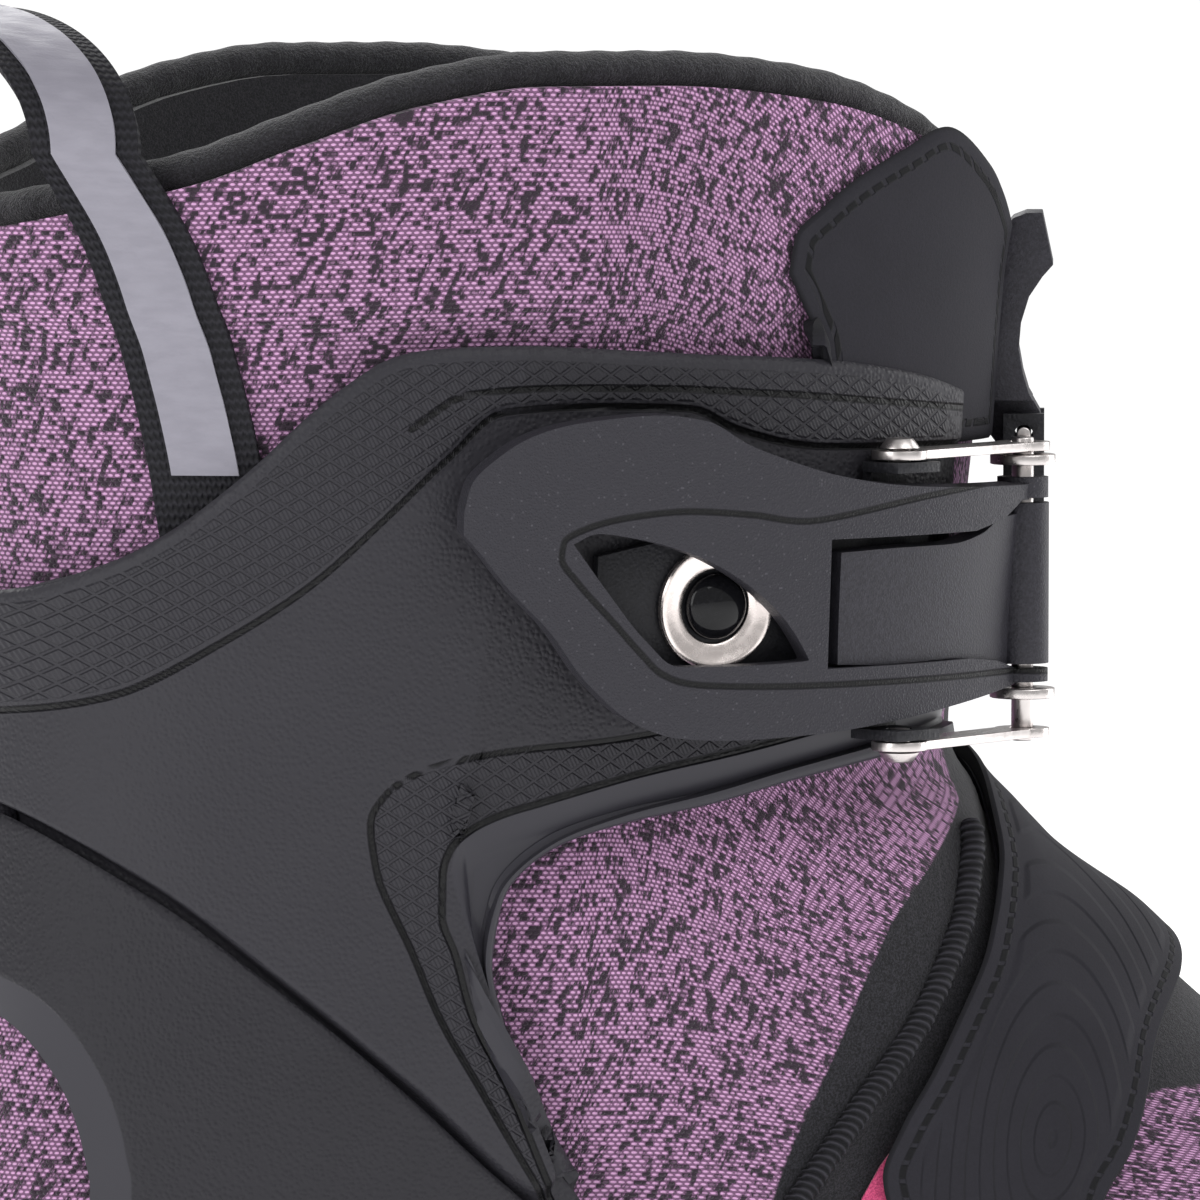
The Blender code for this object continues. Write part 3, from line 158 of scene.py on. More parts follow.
class Finish:
    """One material: makes nodes, links values and holds the shader."""

    def __init__(self, name, roughness=0.5, metallic=0.0, **constants):
        self.material = bpy.data.materials.new(name)
        self.material.use_nodes = True
        self.tree = self.material.node_tree
        self.shader = self.tree.nodes["Principled BSDF"]
        self.shader.inputs["Roughness"].default_value = roughness
        self.shader.inputs["Metallic"].default_value = metallic
        self.shader.inputs["Specular IOR Level"].default_value = 0.5 if metallic else 0.25
        for name_, value in constants.items():
            self.shader.inputs[name_.replace("_", " ")].default_value = value

    def node(self, kind, settings=(), sockets=()):
        made = self.tree.nodes.new(kind)
        for key, value in dict(settings).items():
            setattr(made, key, value)
        for key, value in dict(sockets).items():
            if isinstance(value, Value):
                self.tree.links.new(value.socket, made.inputs[key])
            else:
                made.inputs[key].default_value = value
        return made

    def out(self, kind, settings=(), sockets=(), output=0):
        return Value(self, self.node(kind, settings, sockets).outputs[output])

    def math(self, operation, *values):
        return self.out("ShaderNodeMath", {"operation": operation}, dict(enumerate(values)))

    def place(self):
        """Object coordinates as three values, in millimetres."""
        where = self.out("ShaderNodeTexCoord", output=3)
        apart = self.node("ShaderNodeSeparateXYZ", (), {0: where})
        return [Value(self, socket) * 1000.0 for socket in apart.outputs]

    def cloth(self):
        """Along and across the piece's own surface, in millimetres."""
        where = self.out("ShaderNodeUVMap", {"uv_map": "cloth"})
        apart = self.node("ShaderNodeSeparateXYZ", (), {0: where})
        return [Value(self, socket) * 1000.0 for socket in apart.outputs[:2]]

    def field(self, name):
        """A number stored on the piece's points."""
        return self.out("ShaderNodeAttribute", {"attribute_name": name}, output=2)

    def join(self, x, y, z=0.0):
        return self.out("ShaderNodeCombineXYZ", (), {0: x, 1: y, 2: z})

    def noise(self, where, scale=1.0, detail=2.0, rough=0.5):
        return self.out("ShaderNodeTexNoise", (), {"Vector": where, "Scale": scale,
                                                   "Detail": detail, "Roughness": rough})

    def cells(self, where, scale=1.0, feature="F1", output=0):
        return self.out("ShaderNodeTexVoronoi", {"feature": feature},
                        {"Vector": where, "Scale": scale}, output)

    def dice(self, where):
        return self.out("ShaderNodeTexWhiteNoise", {"noise_dimensions": "3D"}, {"Vector": where})

    def step(self, value, low, high, first=0.0, last=1.0):
        """Goes smoothly from first to last as value goes from low to high."""
        return self.out("ShaderNodeMapRange", {"interpolation_type": "SMOOTHSTEP"},
                        {0: value, 1: low, 2: high, 3: first, 4: last})

    def blend(self, amount, first, last):
        return self.out("ShaderNodeMix", {"data_type": "RGBA"},
                        {0: amount, 6: first, 7: last}, 2)

    def colour(self, value):
        if isinstance(value, Value):
            self.tree.links.new(value.socket, self.shader.inputs["Base Color"])
        else:
            self.shader.inputs["Base Color"].default_value = value

    def rough(self, value):
        self.tree.links.new(value.socket, self.shader.inputs["Roughness"])

    def relief(self, height, depth_mm):
        bump = self.out("ShaderNodeBump", (), {"Strength": 1.0, "Distance": depth_mm * MM,
                                               "Height": height})
        self.tree.links.new(bump.socket, self.shader.inputs["Normal"])


def rgb(red, green, blue):
    """A screen colour, 0 to 255, as the linear numbers a shader takes."""
    def linear(c):
        c = c / 255.0
        return c / 12.92 if c <= 0.04045 else ((c + 0.055) / 1.055) ** 2.4
    return (linear(red), linear(green), linear(blue), 1.0)


# %% [markdown]
# ## The wall of the boot
# Every layer lies on one wall: a rounded tube that leans back over the heel and runs out into
# the toe. A point on it has a turn, 0 at the outer side, 90 at the toe and -90 at the heel, and
# a height. The numbers are the CAD part's own, so each new layer fits the frame.

# %% Wall functions
WALL_POWER, TOE_POWER = 2.4, 5.0


def smooth_table(points, count=1500):
    """Positions and values of a smooth curve through the given pairs."""
    xs, ys = (np.array(c, float) for c in zip(*points))
    slope = np.diff(ys) / np.diff(xs)
    tangent = np.zeros(len(xs))
    tangent[0], tangent[-1] = slope[0], slope[-1]
    for k in range(1, len(xs) - 1):
        a, b = slope[k - 1], slope[k]
        tangent[k] = 0.0 if a * b <= 0 else 2 * a * b / (a + b)
    at = np.linspace(xs[0], xs[-1], count)
    k = np.clip(np.searchsorted(xs, at, side="right") - 1, 0, len(xs) - 2)
    span = xs[k + 1] - xs[k]
    t = (at - xs[k]) / span
    value = ((2 * t ** 3 - 3 * t ** 2 + 1) * ys[k] + (t ** 3 - 2 * t ** 2 + t) * span * tangent[k]
             + (3 * t ** 2 - 2 * t ** 3) * ys[k + 1] + (t ** 3 - t ** 2) * span * tangent[k + 1])
    return at, value


class Profile:
    def __init__(self, points):
        self.at, self.value = smooth_table(points)

    def __call__(self, where):
        return np.interp(where, self.at, self.value)


front = Profile([(21, 198), (40, 200), (52, 196), (62, 187), (72, 172), (82, 153), (94, 131),
                 (105, 114), (117, 99), (130, 80), (145, 68), (160, 66), (190, 68.5), (212, 71.3),
                 (228, 75.5), (243, 79)])
rear = Profile([(21, 82), (40, 84), (60, 84), (85, 80), (115, 75), (145, 73), (175, 74),
                (215, 79), (243, 81)])
leg_width = Profile([(60, 43), (100, 45), (130, 46.5), (160, 49), (200, 51.5), (243, 52)])
outer_width = Profile([(-84, 34), (-45, 38), (0, 40), (60, 43), (110, 50), (150, 48), (180, 42),
                       (200, 36)])
inner_width = Profile([(-84, 34), (-45, 38), (0, 40), (60, 43), (110, 45), (150, 44), (180, 39),
                       (200, 34)])


def ease(low, high, at):
    t = np.clip((np.asarray(at, float) - low) / (high - low), 0.0, 1.0)
    return t * t * (3 - 2 * t)


def base(turn, z):
    sine = np.sin(np.radians(turn))
    outer = np.cos(np.radians(turn)) >= 0
    reach = np.where(sine >= 0, front(z), rear(z))
    power = np.where(sine >= 0, TOE_POWER + (WALL_POWER - TOE_POWER) * ease(65, 125, z), WALL_POWER)
    x = reach * sine
    foot = np.where(outer, outer_width(x), inner_width(x))
    width = foot + (leg_width(z) - foot) * ease(50, 115, z)
    y = width * np.maximum(0.0, 1.0 - np.abs(sine) ** power) ** (1.0 / WALL_POWER)
    return np.stack([x, np.where(outer, -y, y), z + 0.0 * x], axis=-1)


def normal(turn, z):
    along = base(turn + 1.0, z) - base(turn - 1.0, z)
    rise = base(turn, z + 1.0) - base(turn, z - 1.0)
    out = np.cross(along, rise)
    return out / np.linalg.norm(out, axis=-1, keepdims=True)


def wall(turn, z, off=0.0):
    """Points that stand off the wall, in millimetres."""
    turn, z, off = np.broadcast_arrays(*(np.asarray(v, float) for v in (turn, z, off)))
    place = base(turn, z) + normal(turn, z) * off[..., None]
    middle = np.abs(np.cos(np.radians(turn))) < 1e-6
    place[..., 1] = np.where(middle, 0.0, place[..., 1])
    return place


def turn_of(x, z, off=0.0):
    reach = np.where(np.asarray(x) >= 0, front(z), rear(z)) + off
    return np.degrees(np.arcsin(np.clip(np.asarray(x, float) / reach, -1.0, 1.0)))


def side_of(turn, z, off=5.5):
    """Side view coordinates of wall points, on a surface that stands off by this much."""
    sine = np.sin(np.radians(turn))
    return (np.where(sine >= 0, front(z), rear(z)) + off) * sine


def curve(points, count, off=5.5):
    """An outline of side view (x, z) points as evenly numbered (turn, z) points."""
    points = np.array([(turn_of(x, z, off), z) for x, z in points], float)
    at = np.arange(len(points))
    want = np.linspace(0, len(points) - 1, count)
    return np.stack([np.interp(want, *smooth_table(list(zip(at, points[:, k])), 4000))
                     for k in (0, 1)], axis=-1)


def distance(x, z, outline, closed=True):
    """Distance in the side view to an outline, positive inside it when it is closed."""
    x, z = np.asarray(x, float), np.asarray(z, float)
    nearest = np.full(x.shape, 1e9)
    inside = np.zeros(x.shape, bool)
    pairs = list(zip(outline, outline[1:] + (outline[:1] if closed else [])))
    for (x0, z0), (x1, z1) in pairs:
        dx, dz = x1 - x0, z1 - z0
        t = np.clip(((x - x0) * dx + (z - z0) * dz) / (dx * dx + dz * dz + 1e-12), 0, 1)
        nearest = np.minimum(nearest, np.hypot(x - x0 - t * dx, z - z0 - t * dz))
        if closed and z0 != z1:
            crosses = ((z0 > z) != (z1 > z)) & (x < dx * (z - z0) / dz + x0)
            inside ^= crosses
    return np.where(inside, nearest, -nearest) if closed else nearest


def smooth_line(points, count):
    """A finer copy of an outline, bent smoothly through its points."""
    at = np.arange(len(points))
    want = np.linspace(0, len(points) - 1, count)
    tracks = [np.interp(want, *smooth_table(list(zip(at, [p[k] for p in points])), 4000))
              for k in (0, 1)]
    return [tuple(p) for p in np.stack(tracks, axis=-1)]


print("leg at the collar, front to back:", round(float(front(243) + rear(243)), 1), "mm")

# %% [markdown]
# ## Making pieces
# A layered piece starts as a grid of wall points. The helper turns a grid into a mesh with a
# UV map in real metres, so that a weave keeps its size, and with numbers stored on its points,
# so that a pattern knows how far it is from an edge. It then rides on its body.

# %% Piece helpers


def select_only(item):
    bpy.ops.object.select_all(action="DESELECT")
    item.select_set(True)
    bpy.context.view_layer.objects.active = item


def apply_all(item):
    select_only(item)
    for change in list(item.modifiers):
        bpy.ops.object.modifier_apply(modifier=change.name)


def wall_thickness(item, thick, mirror=False, smooth=40.0):
    """Mirror a half, give the sheet a thickness on its inner side, and shade it."""
    if mirror:
        half = item.modifiers.new("other_side", "MIRROR")
        half.use_axis = (False, True, False)
        half.use_clip = True
        half.merge_threshold = 0.00002
    if thick:
        solid = item.modifiers.new("thickness", "SOLIDIFY")
        solid.thickness = thick * MM
        solid.offset = -1.0
    apply_all(item)
    bpy.ops.object.shade_smooth_by_angle(angle=math.radians(smooth))


def sheet_from(name, places, fields=(), closed=False, centre=(0.0, 0.0), up=None):
    """A mesh through a grid of points in millimetres, rows of columns."""
    rows, columns = places.shape[:2]
    width = columns if closed else columns - 1
    r, c = np.meshgrid(np.arange(rows - 1), np.arange(width), indexing="ij")
    n = (c + 1) % columns
    faces = np.stack([r * columns + c, r * columns + n, (r + 1) * columns + n,
                      (r + 1) * columns + c], axis=-1).reshape(-1, 4)
    points = places.reshape(-1, 3)
    mesh = bpy.data.meshes.new(name)
    mesh.from_pydata((points * MM).tolist(), [], faces.tolist())
    ahead = np.roll(places, -1, axis=1) if closed else places
    along = np.linalg.norm(np.diff(ahead, axis=1, append=ahead[:, -1:] if not closed else
                                   places[:, :1]), axis=-1)
    mean = along.mean(axis=0)
    u = np.concatenate([[0.0], np.cumsum(mean)])[:columns + (1 if closed else 0)]
    climb = np.linalg.norm(np.diff(places, axis=0), axis=-1)
    v = np.concatenate([np.zeros((1, columns)), np.cumsum(climb, axis=0)])
    layer = mesh.uv_layers.new(name="cloth")
    corner_c = np.stack([c, c + 1, c + 1, c], axis=-1).reshape(-1, 4)
    corner_v = v.reshape(-1)[faces]
    last = min(len(u) - 1, int(corner_c.max()))
    coords = np.stack([u[np.minimum(corner_c, last)] * MM, corner_v * MM], axis=-1)
    layer.data.foreach_set("uv", coords.reshape(-1).astype(np.float32))
    for label, values in dict(fields).items():
        mesh.attributes.new(label, "FLOAT", "POINT").data.foreach_set(
            "value", np.asarray(values, np.float32).reshape(-1))
    item = bpy.data.objects.new(name, mesh)
    bpy.context.scene.collection.objects.link(item)
    aim_out(item, centre, up)
    return item


def aim_out(item, centre=(0.0, 0.0), up=None):
    """Turn an open sheet's faces away from the boot's middle, or from a height."""
    mesh = item.data
    count = len(mesh.polygons)
    where, facing = np.zeros(count * 3), np.zeros(count * 3)
    mesh.polygons.foreach_get("center", where)
    mesh.polygons.foreach_get("normal", facing)
    where, facing = where.reshape(-1, 3), facing.reshape(-1, 3)
    away = where - np.array([centre[0] * MM, centre[1] * MM, 0.0])
    away[:, 2] = 0.0 if up is None else where[:, 2] - up * MM
    if (away * facing).sum() < 0:
        mesh.flip_normals()


def rolled(inside, radius):
    """How far a rounded edge drops at this distance inside it."""
    near = np.clip(radius - inside, 0.0, radius)
    return radius - np.sqrt(np.maximum(radius ** 2 - near ** 2, 0.0))


def place_piece(item, body, finish, *stands_for):
    """Give the piece its finish, attach it to its body when one is named, and hide the CAD nodes that
    it replaces.
    """
    item.data.materials.clear()
    item.data.materials.append(finish.material)
    if isinstance(body, str):
        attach(item, body)
    else:
        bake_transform(item)
    if stands_for:
        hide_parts(*stands_for)
    print(item.name, len(item.data.polygons), "faces")
    return item


def refine(node, body, finish, width=0.4, segments=2, angle=30.0, name=None, extra=None):
    """A bevelled copy of a CAD node, for a hard piece whose shape is right."""
    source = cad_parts[node]
    item = bpy.data.objects.new(name or node + "_detailed", source.data.copy())
    item.matrix_world = Matrix.Identity(4)
    bpy.context.scene.collection.objects.link(item)
    select_only(item)
    bpy.ops.object.mode_set(mode="EDIT")
    bpy.ops.mesh.select_all(action="SELECT")
    bpy.ops.mesh.remove_doubles(threshold=0.000005)
    bpy.ops.mesh.dissolve_limited(angle_limit=math.radians(2.0))
    bpy.ops.object.mode_set(mode="OBJECT")
    if extra:
        extra(item)
    soft = item.modifiers.new("edges", "BEVEL")
    soft.width = width * MM
    soft.segments = segments
    soft.limit_method = "ANGLE"
    soft.angle_limit = math.radians(angle)
    soft.use_clamp_overlap = True
    apply_all(item)
    bpy.ops.object.shade_smooth_by_angle(angle=math.radians(40.0))
    return place_piece(item, body, finish, node)


FLEX = ("boot", "cuff_assembly", (0, 0, 0.085), (0, 0, 0.155))

# %% [markdown]
# ## Materials
# Each material is a small formula. The knit is rows of short bright dashes over a dark ground,
# with whole groups of stitches missing in slanting streaks. The plastics share one pebble grain.

# %% Knit, fleece and fabric materials
WALE, COURSE = 1.0, 0.62
DARK_KNIT, MID_KNIT, BRIGHT_KNIT = rgb(50, 38, 50), rgb(118, 82, 114), rgb(202, 154, 196)


def stitches(f, u, v):
    """Height of one knitted dash and whether this stitch shows the bright yarn."""
    row = f.math("FLOOR", v / COURSE)
    along = u / WALE + f.math("MODULO", row, 2.0) * 0.5
    column = f.math("FLOOR", along)
    a = (along - column - 0.5) * 2.15
    b = (v / COURSE - row - 0.5) * 2.5
    dash = f.step(a * a + b * b, 0.35, 1.15, 1.0, 0.0)
    luck = f.dice(f.join(column, row))
    streak = f.noise(f.join((u * 0.90 - v * 0.44) / 0.95, (u * 0.44 + v * 0.90) / 6.0), 1.0, 3.0)
    missing = f.step(streak, 0.40, 0.64, -0.12, 0.42)
    bright = f.step(luck + missing, 0.5, 0.95, 1.0, 0.0)
    return dash, bright


def fuzz(f, where, low, high):
    """Brushed pile: soft clumps with fine hair in them."""
    clumps = f.noise(where, 900.0, 4.0, 0.7)
    hair = f.noise(where, 3200.0, 3.0, 0.7)
    return clumps * 0.6 + hair * 0.4, f.blend(f.step(hair, 0.35, 0.7), low, high)


def knit_material():
    f = Finish("pink_and_black_knit", 0.85)
    u, v = f.cloth()
    dash, bright = stitches(f, u, v)
    yarn = f.blend(dash * bright, DARK_KNIT, BRIGHT_KNIT)
    ground = f.blend(bright, DARK_KNIT, MID_KNIT)
    yarn = f.blend(dash * bright, ground, BRIGHT_KNIT)
    where = f.out("ShaderNodeTexCoord", output=3)
    pile, pile_colour = fuzz(f, where, rgb(12, 12, 15), rgb(46, 45, 51))
    black = f.step(f.field("stretch"), -0.25, 0.25)
    f.colour(f.blend(black, yarn, pile_colour))
    f.relief(dash * 0.9 * (black * -1.0 + 1.0) + pile * black * 0.9, 0.35)
    f.shader.inputs["Sheen Weight"].default_value = 0.15
    return f


def fleece_material(name, low, high, depth=0.6):
    f = Finish(name, 0.95)
    where = f.out("ShaderNodeTexCoord", output=3)
    pile, tint = fuzz(f, where, low, high)
    f.colour(tint)
    f.relief(pile, depth)
    f.shader.inputs["Sheen Weight"].default_value = 0.3
    return f


def rib_material():
    """Black ribbed elastic: ridges across the length of the piece."""
    f = Finish("ribbed_elastic", 0.8)
    v = f.cloth()[1]
    ridge = f.math("SINE", v * 5.2) * 0.5 + 0.5
    # Painted shade: the troughs between the ridges are darker and the crests lighter.
    f.colour(f.blend(ridge, rgb(14, 14, 17), rgb(52, 51, 57)))
    f.relief(ridge, 0.5)
    return f


def webbing_material():
    f = Finish("woven_webbing", 0.75)
    u, v = f.cloth()
    ribs = f.math("SINE", v * 4.5 + f.math("SINE", u * 6.3) * 0.8) * 0.5 + 0.5
    threads = f.math("SINE", u * 9.0) * 0.5 + 0.5
    hair = f.noise(f.join(u, v), 3.0, 3.0)
    # Partly painted shade: darker in the troughs of the ribs; the hair noise adds random tone.
    f.colour(f.blend(ribs * 0.6 + hair * 0.4, rgb(10, 10, 13), rgb(42, 41, 47)))
    f.relief(ribs * 0.7 + threads * 0.3, 0.35)
    return f


def tape_material():
    f = Finish("reflective_tape", 0.5, 0.0)
    u, v = f.cloth()
    creases = f.noise(f.join(u / 9.0, v / 3.0), 1.6, 4.0, 0.55)
    dots = f.cells(f.join(u, v), 2.2)
    f.colour(f.blend(f.step(creases, 0.3, 0.7), rgb(132, 130, 140), rgb(140, 138, 148)))
    f.rough(f.step(creases, 0.3, 0.7, 0.42, 0.55))
    f.relief(creases * 0.5 + dots * 0.06, 0.25)
    return f


def nubuck_material(name, emboss=False):
    """Brushed synthetic leather, with a stitch line inside its edge."""
    f = Finish(name, 0.82)
    x, _, z = f.place()
    where = f.out("ShaderNodeTexCoord", output=3)
    nap = f.noise(where, 2600.0, 4.0, 0.7)
    patch = f.noise(where, 90.0, 3.0)
    tone = f.blend(nap * 0.6 + patch * 0.4, rgb(22, 21, 26), rgb(44, 43, 50))
    edge = f.field("edge")
    run = f.field("run")
    near = f.math("ABSOLUTE", edge - 2.6)
    line = f.step(near, 0.32, 0.62, 1.0, 0.0)
    thread = f.step(f.math("ABSOLUTE", f.math("FRACT", run / 2.6) - 0.5), 0.30, 0.40, 1.0, 0.0)
    tone = f.blend(line * thread, tone, rgb(14, 14, 17))
    tone = f.blend(f.step(edge, 0.0, 0.7, 0.8, 0.0), tone, rgb(16, 16, 19))
    f.colour(tone)
    height = nap * 0.12 - line * 0.55 + line * thread * 0.9
    if emboss:
        bend = f.noise(where, 28.0, 2.0) * 5.0
        across = (x - 69.0 + bend * 0.5) / 0.85
        up = (z - 97.0 - across * 0.35 + bend) / 1.5
        ring = f.math("SQRT", across * across + up * up + 0.5)
        wave = f.math("SINE", ring * 1.25 - 1.2)
        inside = f.step(edge, 4.0, 5.5)
        height = height + f.step(wave, -0.35, 0.35) * inside * 0.8
    f.relief(height, 0.55)
    return f


knit = knit_material()
pile = fleece_material("black_fleece", rgb(12, 12, 15), rgb(50, 49, 55), 0.9)
lining_cloth = fleece_material("lining_fabric", rgb(22, 22, 25), rgb(48, 47, 52), 0.35)
ribs = rib_material()
webbing = webbing_material()
tape = tape_material()
nubuck = nubuck_material("nubuck_patch")
strap_leather = nubuck_material("embossed_nubuck", emboss=True)
coral = fleece_material("coral_hook_cloth", rgb(188, 62, 108), rgb(243, 100, 148), 0.5)

# %% Plastic, rubber and metal materials


def grain(f, size=0.7):
    """Pebble grain in millimetres, as a height from 0 to 1."""
    where = f.out("ShaderNodeTexCoord", output=3)
    return where, f.step(f.cells(where, 1000.0 / size), 0.0, 0.75, 1.0, 0.0)


def diamonds(f, x, z):
    """Small raised diamonds with fine ribs on them."""
    a = f.math("FRACT", x / 3.6 + z / 2.4)
    b = f.math("FRACT", x / 3.6 - z / 2.4)
    inset = f.math("MINIMUM", f.math("MINIMUM", a, a * -1.0 + 1.0),
                   f.math("MINIMUM", b, b * -1.0 + 1.0))
    ribbing = f.math("SINE", (x + z * 0.5) * 11.0) * 0.5 + 0.5
    raised = f.step(inset, 0.05, 0.16)
    return raised * (ribbing * 0.25 + 0.75)


def cuff_material(name, body, lit):
    """Grained plastic with satin bevels, a band of diamonds and painted shade in its grooves, by
    fields on the points.
    """
    f = Finish(name, 0.5)
    x, _, z = f.place()
    where, pebble = grain(f)
    cloud = f.noise(where, 60.0, 2.0)
    textured = f.step(f.field("texture"), -0.1, 0.3)
    satin = f.step(f.field("satin"), -0.1, 0.2)
    # Groove mask: sunk into the relief, and also painted near-black as painted shade in the grooves.
    groove_and_shade = f.step(f.math("ABSOLUTE", f.field("groove")), 0.25, 0.6, 1.0, 0.0)
    pattern = diamonds(f, x, z)
    tone = f.blend(cloud, body, lit)
    tone = f.blend(textured, tone, rgb(42, 41, 46))
    tone = f.blend(satin, tone, rgb(50, 49, 55))
    # Painted shade: the groove lines are darkened to near-black.
    tone = f.blend(groove_and_shade, tone, rgb(10, 10, 12))
    f.colour(tone)
    f.rough(f.step(satin, 0.0, 1.0, 0.52, 0.36))
    plain = (textured * -1.0 + 1.0) * (satin * -1.0 + 1.0)
    f.relief(pebble * plain * 0.25 + pattern * textured * 0.8 - groove_and_shade * 1.2, 0.4)
    return f


def plastic_material(name, tone, roughness=0.5, size=0.7, depth=0.1):
    f = Finish(name, roughness)
    where, pebble = grain(f, size)
    speck = f.noise(where, 1800.0, 3.0, 0.7)
    dark = tuple(c * 0.8 for c in tone[:3]) + (1.0,)
    light = tuple(min(1.0, c * 1.35) for c in tone[:3]) + (1.0,)
    f.colour(f.blend(f.step(speck, 0.35, 0.7), dark, light))
    f.rough(f.step(speck, 0.3, 0.7, roughness - 0.05, roughness + 0.08))
    f.relief(pebble * 0.6 + speck * 0.4, depth)
    return f


def lever_material():
    """Sandblasted plastic with a groove line inside the edge, by a field on the points; the groove is
    painted near-black as painted shade.
    """
    f = Finish("sandblasted_lever", 0.55)
    where, pebble = grain(f, 0.35)
    speck = f.dice(f.out("ShaderNodeVectorMath", {"operation": "FLOOR"},
                         {0: f.out("ShaderNodeVectorMath", {"operation": "SCALE"},
                                   {0: where, "Scale": 4000.0})}))
    line = f.step(f.math("ABSOLUTE", f.field("groove")), 0.2, 0.55, 1.0, 0.0)
    tone = f.blend(f.step(speck, 0.985, 0.998), rgb(48, 47, 53), rgb(72, 71, 77))
    # Painted shade: the groove line is darkened to near-black.
    tone = f.blend(line, tone, rgb(12, 12, 14))
    f.colour(tone)
    f.rough(f.step(speck, 0.0, 1.0, 0.5, 0.6))
    f.relief(pebble * 0.25 - line * 1.2, 0.35)
    return f


def metal_material(name, tone, roughness, brushed=0.05):
    f = Finish(name, roughness, 1.0)
    where = f.out("ShaderNodeTexCoord", output=3)
    wear = f.noise(where, 700.0, 4.0, 0.6)
    dark = tuple(c * 0.88 for c in tone[:3]) + (1.0,)
    f.colour(f.blend(wear, dark, tone))
    f.rough(f.step(wear, 0.3, 0.7, roughness, roughness + 0.12))
    f.relief(wear, brushed)
    return f


cuff_plastic = cuff_material("cuff_plastic", rgb(40, 39, 44), rgb(47, 46, 51))
shell_plastic = cuff_material("shell_plastic", rgb(34, 33, 38), rgb(40, 39, 44))
lever_plastic = lever_material()
tab_plastic = plastic_material("tab_plastic", rgb(46, 45, 51), 0.5, 0.35, 0.06)
buckle_plastic = plastic_material("buckle_plastic", rgb(34, 34, 38), 0.45, 0.5, 0.06)
ladder_plastic = plastic_material("ladder_plastic", rgb(46, 46, 51), 0.4, 0.5, 0.05)
rubber = plastic_material("sole_rubber", rgb(34, 34, 36), 0.75, 1.0, 0.2)
plate_plastic = plastic_material("sole_plate_plastic", rgb(40, 40, 45), 0.5, 0.7, 0.12)
cap_rubber = plastic_material("toe_cap_rubber", rgb(38, 38, 42), 0.6, 0.9, 0.2)
board_stuff = plastic_material("lasting_board_fibre", rgb(150, 138, 116), 0.9, 0.9, 0.15)
steel = metal_material("steel", rgb(214, 208, 206), 0.26)
nickel = metal_material("nickel_ring", rgb(240, 230, 226), 0.2, 0.02)
gunmetal = metal_material("gunmetal_rivet", rgb(92, 92, 98), 0.3)
dome_black = plastic_material("glossy_black", rgb(16, 16, 19), 0.08, 2.0, 0.004)
print(len(bpy.data.materials), "materials so far")

# %% [markdown]
# ## Knit upper
# The upper is one sock: a full ring round the foot and an open collar above it, split at the
# front where the tongue shows. It is modelled as one sheet, with a stretch band in it. It follows
# the boot below the ankle and the cuff above it.

# %% Knit upper and its lining
FIXED_EDGE = [(-90, 34), (-60, 27), (-30, 12), (-8, 6), (0, 5), (8, 6), (40, 20), (100, 42)]
COLLAR_EDGE = [(-81, 217.5), (-74, 220), (-55, 225.5), (-41, 231), (-26, 236), (-9, 238.5),
               (8, 238.5), (29, 236.5), (46, 231.5), (58, 224.5), (66, 217.5)]
PIVOT_Z, SEAT_Z, THROAT_TURN, THROAT_LOW = 74.0, 21.6, 72.0, 98.0
WINDOW = [(11, 74), (2, 86), (-7, 97), (-13.5, 111), (-16.5, 122), (-15, 131), (-8, 137.5),
          (3, 140.7), (16, 142.7), (30, 145.5), (46, 147.6), (70, 148.5), (90, 120), (140, 80),
          (60, 60), (25, 62)]
UNDER_STRAP = [(35, 70), (41, 87), (45.8, 96.4), (54.8, 111), (64, 126), (75, 140), (110, 140),
               (160, 70)]
STRETCH = [(60, 152), (59, 139), (51, 131), (44.5, 124.5), (39.5, 116), (35.5, 107.5),
           (31.5, 99.5), (29, 94), (27, 88), (25, 78), (50, 84), (70, 92), (87, 99),
           (100, 99), (112, 99), (130, 98), (150, 130), (90, 165)]


def edge_height(edge, turn):
    low, high = np.full(turn.shape, 30.0), np.full(turn.shape, 236.0)
    sine = np.sin(np.radians(turn))
    rise = Profile(edge)
    for _ in range(40):
        middle = (low + high) / 2
        reach = np.where(sine >= 0, front(middle), rear(middle))
        below = middle < PIVOT_Z + rise(reach * sine)
        low, high = np.where(below, middle, low), np.where(below, high, middle)
    return (low + high) / 2


def foot_top(turn):
    height = edge_height(FIXED_EDGE, turn)
    return height + (THROAT_LOW - height) * (1 - ease(90 - THROAT_TURN, 34,
                                                      np.abs(turn % 360 - 90)))


collar_profile = Profile([(-90.0 if x < -80 else float(turn_of(x, z)), z) for x, z in COLLAR_EDGE])


def collar_top(turn):
    from_rear = np.abs((turn + 270) % 360 - 180)
    return collar_profile(from_rear - 90)


def knit_off(x, z):
    """How far the knit bulges off the wall: freely in the windows and over the collar."""
    open_front = ease(0, 12, distance(x, z, WINDOW)) * (1 - ease(-9, -1, distance(x, z, UNDER_STRAP)))
    above = ease(204, 211, z) * 2.2
    leg = 1.9 * ease(146, 160, z)
    return 0.35 + np.maximum(leg, 2.1 * open_front) + above


